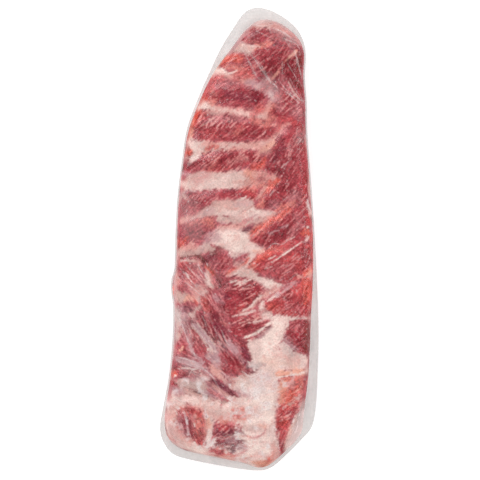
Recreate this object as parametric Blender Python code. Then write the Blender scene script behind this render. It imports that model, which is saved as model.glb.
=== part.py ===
"""Raw trimmed pork rib slab, meat side up, sealed in a tight clear film bag.

The bag and what it holds are one closed solid. It lies on its flat bone side, and its seam of
doubled film runs all round it as a thin rim. Sizes are in millimetres; the mesh is in metres.
+Y points to the narrow end, +X to the side of the large muscles, +Z up from the surface it lies on.
"""
import math

import bpy
import numpy as np
from mathutils import Vector
from mathutils.geometry import delaunay_2d_cdt

MM = 0.001

# Edge of the film rim seen from above, anticlockwise from the narrow end
FILM_EDGE = (
    (13.0, 186.0), (4.0, 182.0), (-4.0, 171.0), (-14.0, 155.0), (-24.0, 134.0), (-33.0, 113.5),
    (-42.0, 89.0), (-46.0, 64.0), (-49.5, 36.0), (-51.3, 5.0), (-52.0, -22.0), (-54.6, -32.0),
    (-54.8, -41.0), (-53.2, -54.0), (-53.6, -78.0), (-56.4, -108.0), (-61.0, -134.0),
    (-63.6, -149.0), (-62.0, -160.0), (-54.0, -171.5), (-40.0, -176.5), (-14.0, -181.5),
    (10.0, -185.0), (24.0, -183.5), (37.0, -173.0), (50.0, -160.0), (57.5, -151.0),
    (60.8, -138.0), (62.6, -112.0), (63.4, -72.0), (62.2, -34.0), (60.4, 0.0), (58.0, 38.0),
    (54.5, 84.0), (54.0, 108.0), (52.4, 130.0), (53.1, 148.0), (50.8, 160.0), (45.0, 170.0),
    (34.0, 179.0), (23.0, 184.5),
)

# Foot of the slab inside the film, in the same order
SLAB_EDGE = (
    (21.0, 176.5), (12.0, 174.0), (3.0, 166.0), (-7.0, 152.5), (-19.0, 136.5), (-28.5, 119.0),
    (-39.8, 89.0), (-44.0, 64.0), (-47.4, 36.0), (-49.3, 5.0), (-50.0, -22.0), (-52.6, -32.5),
    (-52.8, -41.0), (-51.2, -54.0), (-51.6, -78.0), (-54.2, -108.0), (-58.4, -134.0),
    (-60.0, -148.0), (-57.0, -159.0), (-47.0, -167.5), (-26.0, -173.0), (2.0, -178.8),
    (14.0, -182.6), (23.0, -181.2), (34.5, -171.8), (44.0, -162.5), (49.8, -154.0),
    (51.4, -142.0), (53.0, -128.0), (55.0, -112.0), (56.4, -90.0), (57.4, -62.0), (58.8, -34.0),
    (58.2, 0.0), (55.9, 38.0), (52.4, 84.0), (51.8, 108.0), (50.3, 130.0), (50.9, 148.0),
    (48.2, 158.5), (41.0, 167.5), (31.0, 174.0),
)

# Height of the rim above the surface, its thickness and how it sags outwards
SEAM_HEIGHT = 8.5
FILM_RIM_THICKNESS = 1.2
RIM_SAG = 0.22
RIM_WAVE = 0.5
RIM_WAVES = 17

# Thickness of the slab along its length, narrow end to broad end, and the rounding of its sides.
# The sloped corner is where the trimmed end falls away more gently: centre, reach, extra rounding
THICKNESS_AT = ((178.0, 17.0), (150.0, 23.0), (90.0, 26.0), (0.0, 28.0), (-90.0, 30.5),
                (-150.0, 28.0), (-184.0, 19.0))
TOP_ROUNDING = 8.5
BOTTOM_ROUNDING = 6.5
SLOPED_CORNER = (52.0, -150.0, 46.0, 10.0)
STEEP_SIDE_DROP = 2.0

# Ribs: they fan, falling to the right at the narrow end and rising to the right lower down
RIB_COUNT = 13
FIRST_RIB_Y = 154.0
RIB_PITCH = 26.0
RIB_SLOPES = (-0.36, 0.20)
RIB_SLOPE_SETTLES_AT = 5
RIB_RIDGE_HEIGHT = 1.3
RIB_HALF_WIDTH = 6.5
RIB_RIDGES_END_X = 22.0
UNDERSIDE_GROOVE_DEPTH = 1.4
UNDERSIDE_GROOVE_HALF_WIDTH = 5.0
UNDERSIDE_BORDER = 16.0

# Muscles that swell under the film: both ends of the belly, its half width and its height
MUSCLES = (
    (14.0, 146.0, 34.0, 134.0, 10.0, 2.0),
    (42.0, 146.0, 46.0, 128.0, 7.0, 1.5),
    (-22.0, 119.0, 17.0, 115.0, 7.0, 1.8),
    (34.0, 108.0, 48.0, 116.0, 8.0, 1.2),
    (-33.0, 92.0, 27.0, 87.0, 6.5, 1.8),
    (26.0, 68.0, 47.0, 92.0, 8.0, 2.0),
    (-42.0, 60.0, 13.0, 66.0, 7.0, 1.8),
    (24.0, 56.0, 50.0, 70.0, 8.0, 1.6),
    (-42.0, 29.0, 13.0, 38.0, 7.0, 1.6),
    (19.0, 31.0, 50.0, 46.0, 8.5, 2.2),
    (-44.0, 8.0, -26.0, 12.0, 8.0, 1.6),
    (18.0, 1.0, 54.0, 24.0, 10.0, 2.4),
    (-22.0, -14.0, -6.0, -16.0, 7.0, 1.4),
    (14.0, -19.0, 54.0, -8.0, 10.0, 2.4),
    (-6.0, -36.0, 14.0, -42.0, 9.0, 1.6),
    (24.0, -52.0, 54.0, -42.0, 10.0, 2.4),
    (-4.0, -66.0, 18.0, -64.0, 8.0, 1.6),
    (42.0, -78.0, 52.0, -76.0, 9.0, 2.0),
    (-8.0, -96.0, 2.0, -92.0, 9.0, 1.4),
    (48.0, -112.0, 34.0, -154.0, 7.0, 1.8),
    (-44.0, -140.0, -34.0, -154.0, 8.0, 1.6),
    (-16.0, -148.0, -8.0, -164.0, 8.0, 1.4),
)

# Thick smooth fat over the broad end: centre, reach along X and Y, height
FAT_CUSHION = (22.0, -98.0, 26.0, 34.0, 2.2)

# Folds where one layer ends over the next: the line each follows, its half width and depth
FOLDS = (
    (((-52.0, -15.5), (-40.0, -11.5), (-31.0, -13.5), (-22.0, -24.0), (-13.0, -37.0)), 2.6, 2.6),
    (((-60.0, -118.0), (-42.0, -119.0), (-28.0, -124.0), (-12.0, -130.0)), 3.2, 1.8),
)

# Rib ends that push the film out along the left edge: place along the edge, half length, height
RIB_END_BUMPS = ((-37.5, 5.0, 1.6), (-107.0, 5.0, 1.4), (-112.0, 4.0, 1.2))

# Distance between mesh points along the rim, on the top and on the underside
RIM_STEP = 4.2
TOP_STEP = 3.9
UNDERSIDE_STEP = 5.6
SHOULDER_INSET = 2.4
FILM_COLOUR = (0.58, 0.22, 0.20, 1.0)


def smooth_loop(corners, step):
    """A closed smooth line through the corners, with points about one step apart."""
    pts = np.array(corners)
    before, after, beyond = np.roll(pts, 1, 0), np.roll(pts, -1, 0), np.roll(pts, -2, 0)
    fine = []
    for t in np.linspace(0.0, 1.0, 24, endpoint=False):
        fine.append(0.5 * (2 * pts + (after - before) * t
                           + (2 * before - 5 * pts + 4 * after - beyond) * t * t
                           + (3 * pts - before - 3 * after + beyond) * t ** 3))
    line = np.stack(fine, 1).reshape(-1, 2)
    closed = np.vstack([line, line[:1]])
    run = np.concatenate([[0.0], np.cumsum(np.hypot(*np.diff(closed, axis=0).T))])
    count = int(round(run[-1] / step))
    wanted = np.linspace(0.0, run[-1], count, endpoint=False)
    return np.stack([np.interp(wanted, run, closed[:, 0]), np.interp(wanted, run, closed[:, 1])], 1)


def line_distance(points, line):
    """Distance from each point to a chain of straight pieces, and how far along the nearest is."""
    best = np.full(len(points), 1e9)
    along = np.zeros(len(points))
    pieces = len(line) - 1
    for i in range(pieces):
        a, b = line[i], line[i + 1]
        ab = b - a
        t = np.clip(((points - a) @ ab) / (ab @ ab), 0.0, 1.0)
        gap = np.hypot(*(points - a - t[:, None] * ab).T)
        nearer = gap < best
        best = np.where(nearer, gap, best)
        along = np.where(nearer, (i + t) / pieces, along)
    return best, along


def inside(points, loop):
    """True for points inside a closed loop."""
    x, y = points.T
    result = np.zeros(len(points), bool)
    for (x0, y0), (x1, y1) in zip(loop, np.roll(loop, -1, 0)):
        if y0 == y1:
            continue
        crosses = (y0 > y) != (y1 > y)
        result ^= crosses & (x < x0 + (y - y0) * (x1 - x0) / (y1 - y0))
    return result


def depth_inside(points, loop):
    """Distance to a closed loop, positive inside it and negative outside."""
    gap, _ = line_distance(points, np.vstack([loop, loop[:1]]))
    return np.where(inside(points, loop), gap, -gap)


def quarter_round(depth, radius):
    """Rises from 0 to 1 as a quarter circle over one radius."""
    t = 1.0 - np.clip(depth / radius, 0.0, 1.0)
    return np.sqrt(1.0 - t * t)


def smooth_step(value, start, end):
    """Rises smoothly from 0 at start to 1 at end."""
    t = np.clip((value - start) / (end - start), 0.0, 1.0)
    return t * t * (3.0 - 2.0 * t)


def rib_slope(number):
    """How much a rib climbs for each millimetre to the right."""
    t = min(number / RIB_SLOPE_SETTLES_AT, 1.0)
    return RIB_SLOPES[0] + (RIB_SLOPES[1] - RIB_SLOPES[0]) * t


def rim_height(points, film, slab_depth):
    """Height of the middle of the rim: it sags outwards and waves a little along the edge."""
    _, along = line_distance(points, np.vstack([film, film[:1]]))
    wave = RIM_WAVE * np.sin(along * RIM_WAVES * 2 * math.pi)
    outside = np.clip(-slab_depth, 0.0, None)
    return SEAM_HEIGHT - RIM_SAG * outside + wave * np.clip(outside / 4.0, 0.0, 1.0)


def relief(points):
    """Swells of ribs, muscles and fat, and the folds between them."""
    x, y = points.T
    rise = np.zeros(len(points))
    for number in range(RIB_COUNT):
        off = (y - (FIRST_RIB_Y - number * RIB_PITCH) - rib_slope(number) * x)
        ridge = np.exp(-(off / RIB_HALF_WIDTH) ** 2)
        rise += RIB_RIDGE_HEIGHT * ridge * (1.0 - smooth_step(x, 0.0, RIB_RIDGES_END_X))
    for x0, y0, x1, y1, half_width, height in MUSCLES:
        reach = math.hypot(x1 - x0, y1 - y0) / 2.0 + half_width
        turn = math.atan2(y1 - y0, x1 - x0)
        dx, dy = x - (x0 + x1) / 2.0, y - (y0 + y1) / 2.0
        along = (dx * math.cos(turn) + dy * math.sin(turn)) / reach
        across = (dy * math.cos(turn) - dx * math.sin(turn)) / half_width
        rise += height * (1.0 - smooth_step(np.hypot(along, across), 0.25, 1.15))
    cx, cy, rx, ry, height = FAT_CUSHION
    rise += height * (1.0 - smooth_step(np.hypot((x - cx) / rx, (y - cy) / ry), 0.35, 1.15))
    for line, half_width, depth in FOLDS:
        gap, _ = line_distance(points, np.array(line))
        rise -= depth * np.exp(-(gap / half_width) ** 2)
    for middle, half_length, height in RIB_END_BUMPS:
        near_edge = 1.0 - smooth_step(x, -52.0, -40.0)
        rise += height * near_edge * np.exp(-((y - middle) / half_length) ** 2)
    return rise


def top_height(points, film, slab):
    """Height of the upper film over the slab and over the rim."""
    depth = depth_inside(points, slab)
    stations = np.array(THICKNESS_AT)[::-1]
    thickness = np.interp(points[:, 1], stations[:, 0], stations[:, 1])
    crown = thickness - SEAM_HEIGHT - STEEP_SIDE_DROP * (1.0 - smooth_step(depth, 6.0, 30.0))
    cx, cy, reach, extra = SLOPED_CORNER
    corner = 1.0 - smooth_step(np.hypot(points[:, 0] - cx, points[:, 1] - cy), 0.0, reach)
    side = quarter_round(depth, TOP_ROUNDING + extra * corner)
    full = (crown + relief(points) * smooth_step(depth, 0.0, 9.0)) * side
    return rim_height(points, film, depth) + FILM_RIM_THICKNESS / 2 + full


def underside_height(points, film, slab):
    """Height of the lower film: flat under the ribs, drawn up a little between them."""
    depth = depth_inside(points, slab)
    x, y = points.T
    lift = (rim_height(points, film, depth) - FILM_RIM_THICKNESS / 2)
    lift = lift * (1.0 - quarter_round(depth, BOTTOM_ROUNDING))
    for number in range(RIB_COUNT - 1):
        middle = FIRST_RIB_Y - (number + 0.5) * RIB_PITCH + rib_slope(number + 0.5) * x
        groove = 1.0 - smooth_step(np.abs(y - middle), 0.0, UNDERSIDE_GROOVE_HALF_WIDTH)
        border = smooth_step(depth, UNDERSIDE_BORDER * 0.6, UNDERSIDE_BORDER)
        lift = lift + UNDERSIDE_GROOVE_DEPTH * groove * border
    return lift


def inner_points(loop, step):
    """Staggered rows of points inside a loop, kept clear of it."""
    low, high = loop.min(0), loop.max(0)
    rows = []
    row_step = step * math.sqrt(3.0) / 2.0
    for number in range(int((high[1] - low[1]) / row_step) + 1):
        xs = np.arange(low[0], high[0], step) + (number % 2) * step / 2.0
        rows.append(np.stack([xs, np.full(len(xs), low[1] + number * row_step)], 1))
    grid = np.vstack(rows)
    return grid[depth_inside(grid, loop) > step * 0.62]


def triangulate(loops, grid):
    """Points and triangles that fill the first loop and keep the edges of every loop."""
    points, edges = [], []
    for loop in loops:
        first = len(points)
        points.extend(loop)
        edges.extend((first + i, first + (i + 1) % len(loop)) for i in range(len(loop)))
    points.extend(grid)
    flat = [Vector((float(px), float(py))) for px, py in points]
    verts, _, faces, sources, _, _ = delaunay_2d_cdt(flat, edges, [], 1, 1e-5)
    rim = {}
    for index, source in enumerate(sources):
        for original in source:
            if original < len(loops[0]):
                rim[original] = index
    ring = [rim[i] for i in range(len(loops[0]))]
    return np.array([(v.x, v.y) for v in verts]), [tuple(f) for f in faces], ring


def build_pack():
    """The closed skin of the bag: top, underside and the narrow band between them at the rim."""
    film = smooth_loop(FILM_EDGE, RIM_STEP)
    slab = smooth_loop(SLAB_EDGE, RIM_STEP)
    tangent = np.roll(slab, -1, 0) - np.roll(slab, 1, 0)
    inward = np.stack([-tangent[:, 1], tangent[:, 0]], 1)
    inward /= np.hypot(*inward.T)[:, None]
    shoulder = slab + inward * SHOULDER_INSET

    top_xy, top_faces, top_ring = triangulate((film, slab, shoulder), inner_points(shoulder, TOP_STEP))
    low_xy, low_faces, low_ring = triangulate((film, slab, shoulder),
                                              inner_points(shoulder, UNDERSIDE_STEP))
    top_z = top_height(top_xy, film, slab)
    low_z = underside_height(low_xy, film, slab)

    verts = [(x, y, z) for (x, y), z in zip(top_xy, top_z)]
    verts += [(x, y, z) for (x, y), z in zip(low_xy, low_z)]
    shift = len(top_xy)
    faces = list(top_faces)
    faces += [tuple(shift + i for i in reversed(face)) for face in low_faces]
    for i in range(len(film)):
        j = (i + 1) % len(film)
        faces.append((top_ring[j], top_ring[i], shift + low_ring[i], shift + low_ring[j]))

    verts = np.array(verts)
    middle = (verts.min(0) + verts.max(0)) / 2.0
    verts -= (middle[0], middle[1], verts[:, 2].min())
    mesh = bpy.data.meshes.new("sealed_rack")
    mesh.from_pydata([tuple(v) for v in verts * MM], [], faces)
    mesh.validate()
    mesh.shade_smooth()
    mesh.set_sharp_from_angle(angle=math.radians(50.0))
    return mesh


def plastic_over_meat():
    """Clear film drawn tight over raw meat."""
    material = bpy.data.materials.new("film_over_meat")
    material.use_nodes = True
    shader = material.node_tree.nodes["Principled BSDF"]
    shader.inputs["Base Color"].default_value = FILM_COLOUR
    shader.inputs["Roughness"].default_value = 0.22
    shader.inputs["Metallic"].default_value = 0.0
    return material


for leftover in list(bpy.data.objects):
    bpy.data.objects.remove(leftover, do_unlink=True)

pack_mesh = build_pack()
pack_mesh.materials.append(plastic_over_meat())
sealed_rack = bpy.data.objects.new("sealed_rack", pack_mesh)
bpy.context.scene.collection.objects.link(sealed_rack)
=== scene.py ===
"""Raw trimmed pork rib slab, meat side up, sealed in a tight clear film bag, seen from above."""
import math

import bpy
import numpy as np
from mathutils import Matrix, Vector
from mathutils.geometry import delaunay_2d_cdt


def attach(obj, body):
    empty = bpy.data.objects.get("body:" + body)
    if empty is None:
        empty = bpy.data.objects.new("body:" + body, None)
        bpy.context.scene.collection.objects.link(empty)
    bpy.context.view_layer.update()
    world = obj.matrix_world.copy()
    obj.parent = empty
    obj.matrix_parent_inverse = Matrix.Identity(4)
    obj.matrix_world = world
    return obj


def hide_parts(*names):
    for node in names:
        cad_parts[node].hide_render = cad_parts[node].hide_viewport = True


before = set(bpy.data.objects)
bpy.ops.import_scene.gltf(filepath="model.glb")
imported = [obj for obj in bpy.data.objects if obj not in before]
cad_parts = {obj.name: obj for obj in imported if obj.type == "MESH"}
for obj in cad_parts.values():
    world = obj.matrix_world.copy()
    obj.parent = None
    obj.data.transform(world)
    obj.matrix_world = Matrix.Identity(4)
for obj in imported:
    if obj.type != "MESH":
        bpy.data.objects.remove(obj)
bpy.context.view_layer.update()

# Rib slab, meat side
# One trimmed slab of raw ribs: muscles between and over the ribs, seams of white and pink fat.
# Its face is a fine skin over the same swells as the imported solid, in millimetres.
FILM_EDGE = (
    (13.0, 186.0), (4.0, 182.0), (-4.0, 171.0), (-14.0, 155.0), (-24.0, 134.0), (-33.0, 113.5),
    (-42.0, 89.0), (-46.0, 64.0), (-49.5, 36.0), (-51.3, 5.0), (-52.0, -22.0), (-54.6, -32.0),
    (-54.8, -41.0), (-53.2, -54.0), (-53.6, -78.0), (-56.4, -108.0), (-61.0, -134.0),
    (-63.6, -149.0), (-62.0, -160.0), (-54.0, -171.5), (-40.0, -176.5), (-14.0, -181.5),
    (10.0, -185.0), (24.0, -183.5), (37.0, -173.0), (50.0, -160.0), (57.5, -151.0),
    (60.8, -138.0), (62.6, -112.0), (63.4, -72.0), (62.2, -34.0), (60.4, 0.0), (58.0, 38.0),
    (54.5, 84.0), (54.0, 108.0), (52.4, 130.0), (53.1, 148.0), (50.8, 160.0), (45.0, 170.0),
    (34.0, 179.0), (23.0, 184.5),
)
SLAB_EDGE = (
    (21.0, 176.5), (12.0, 174.0), (3.0, 166.0), (-7.0, 152.5), (-19.0, 136.5), (-28.5, 119.0),
    (-40.4, 89.0), (-44.9, 64.0), (-48.4, 36.0), (-50.2, 5.0), (-50.9, -22.0), (-53.5, -32.3),
    (-53.7, -41.0), (-52.1, -54.0), (-52.5, -78.0), (-55.2, -108.0), (-59.2, -134.0),
    (-60.0, -148.0), (-57.0, -159.0), (-47.0, -167.5), (-26.0, -173.0), (2.0, -178.8),
    (14.0, -182.6), (23.0, -181.2), (34.5, -171.8), (44.0, -162.5), (49.8, -154.0),
    (51.4, -142.0), (53.0, -128.0), (55.0, -112.0), (56.4, -90.0), (57.4, -62.0), (58.8, -34.0),
    (59.1, 0.0), (56.9, 38.0), (53.4, 84.0), (52.9, 108.0), (51.3, 130.0), (52.0, 148.0),
    (48.9, 158.5), (41.0, 167.5), (31.0, 174.0),
)
SEAM_HEIGHT = 8.5
FILM_RIM_THICKNESS = 1.2
RIM_SAG = 0.22
RIM_WAVE = 0.5
RIM_WAVES = 17
THICKNESS_AT = ((178.0, 17.0), (150.0, 23.0), (90.0, 26.0), (0.0, 28.0), (-90.0, 30.5),
                (-150.0, 28.0), (-184.0, 19.0))
TOP_ROUNDING = 8.5
BOTTOM_ROUNDING = 6.5
SLOPED_CORNER = (52.0, -150.0, 46.0, 10.0)
STEEP_SIDE_DROP = 2.0
RIB_COUNT = 13
FIRST_RIB_Y = 154.0
RIB_PITCH = 26.0
RIB_SLOPES = (-0.36, 0.20)
RIB_SLOPE_SETTLES_AT = 5
RIB_RIDGE_HEIGHT = 1.3
RIB_HALF_WIDTH = 6.5
RIB_RIDGES_END_X = 22.0
MUSCLES = (
    (14.0, 146.0, 34.0, 134.0, 10.0, 2.0),
    (42.0, 146.0, 46.0, 128.0, 7.0, 1.5),
    (-22.0, 119.0, 17.0, 115.0, 7.0, 1.8),
    (34.0, 108.0, 48.0, 116.0, 8.0, 1.2),
    (-33.0, 92.0, 27.0, 87.0, 6.5, 1.8),
    (26.0, 68.0, 47.0, 92.0, 8.0, 2.0),
    (-42.0, 60.0, 13.0, 66.0, 7.0, 1.8),
    (24.0, 56.0, 50.0, 70.0, 8.0, 1.6),
    (-42.0, 29.0, 13.0, 38.0, 7.0, 1.6),
    (19.0, 31.0, 50.0, 46.0, 8.5, 2.2),
    (-44.0, 8.0, -26.0, 12.0, 8.0, 1.6),
    (18.0, 1.0, 54.0, 24.0, 10.0, 2.4),
    (-22.0, -14.0, -6.0, -16.0, 7.0, 1.4),
    (14.0, -19.0, 54.0, -8.0, 10.0, 2.4),
    (-6.0, -36.0, 14.0, -42.0, 9.0, 1.6),
    (24.0, -52.0, 54.0, -42.0, 10.0, 2.4),
    (-4.0, -66.0, 18.0, -64.0, 8.0, 1.6),
    (42.0, -78.0, 52.0, -76.0, 9.0, 2.0),
    (-8.0, -96.0, 2.0, -92.0, 9.0, 1.4),
    (48.0, -112.0, 34.0, -154.0, 7.0, 1.8),
    (-44.0, -140.0, -34.0, -154.0, 8.0, 1.6),
    (-16.0, -148.0, -8.0, -164.0, 8.0, 1.4),
)
FAT_CUSHION = (22.0, -98.0, 26.0, 34.0, 2.2)
FOLDS = (
    (((-52.0, -15.5), (-40.0, -11.5), (-31.0, -13.5), (-22.0, -24.0), (-13.0, -37.0)), 2.6, 2.6),
    (((-60.0, -118.0), (-42.0, -119.0), (-28.0, -124.0), (-12.0, -130.0)), 3.2, 1.8),
)
RIB_END_BUMPS = ((-37.5, 5.0, 1.6), (-107.0, 5.0, 1.4), (-112.0, 4.0, 1.2))
EDGE_STEP = 4.2
FACE_STEP = 0.7
FACE_GAP_UNDER_FILM = 0.55
MAP_CELL = 0.5
MAP_REACH = (68.0, 190.0)
MM = 0.001

# Directions of the muscle fibres: place and angle above the line to the right, in degrees
GRAIN = (
    (15, 168, 35), (45, 150, 60), (20, 145, 38), (45, 130, 75), (-8, 146, 24), (0, 117, 28),
    (38, 108, 42), (-10, 98, 46), (0, 86, 30), (34, 95, 55), (-15, 70, 44), (10, 70, 44),
    (-35, 57, 36), (36, 72, 62), (25, 55, 55), (-38, 30, 48), (0, 37, 36), (35, 35, 50),
    (20, 22, 40), (-38, 8, 40), (35, 8, 42), (10, 8, 45), (-18, -14, 55), (35, -18, 32),
    (50, -8, 34), (3, -38, 22), (20, -42, 38), (36, -50, 38), (54, -45, 62), (6, -66, 20),
    (47, -78, 40), (-38, -30, -48), (-28, -55, -65), (-38, -75, -62), (-18, -80, -62),
    (-2, -96, -50), (-40, -100, -18), (-10, -118, -42), (-38, -118, -22), (-40, -147, -74),
    (-12, -148, 40), (-10, -165, 18), (10, -155, 5), (42, -108, 6), (40, -122, 24),
    (34, -142, 40), (33, -160, 72), (20, -90, 25), (18, -120, 50), (5, -176, 22),
)

# Colours of the tissues, red, green and blue out of 255, and how much of each is muscle.
# "shade" is painted shade: the dark line at the bottom of a fold, where shade falls.
TISSUES = {
    "bright": ((248, 220, 208), 0.0), "cream": ((238, 203, 193), 0.0),
    "beige": ((217, 178, 168), 0.0), "grey": ((212, 184, 178), 0.1),
    "pink": ((226, 163, 153), 0.2), "peach": ((238, 170, 148), 0.2),
    "mauve": ((196, 148, 150), 0.3), "shade": ((120, 70, 66), 0.5),
    "salmon": ((213, 128, 116), 0.6), "rose": ((200, 128, 128), 0.7),
    "dusty": ((178, 98, 102), 0.9), "orange": ((216, 100, 84), 0.9),
    "red": ((190, 82, 82), 1.0), "crimson": ((168, 72, 77), 1.0),
    "dark": ((135, 46, 54), 1.0), "purple": ((126, 60, 72), 1.0),
}

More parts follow.
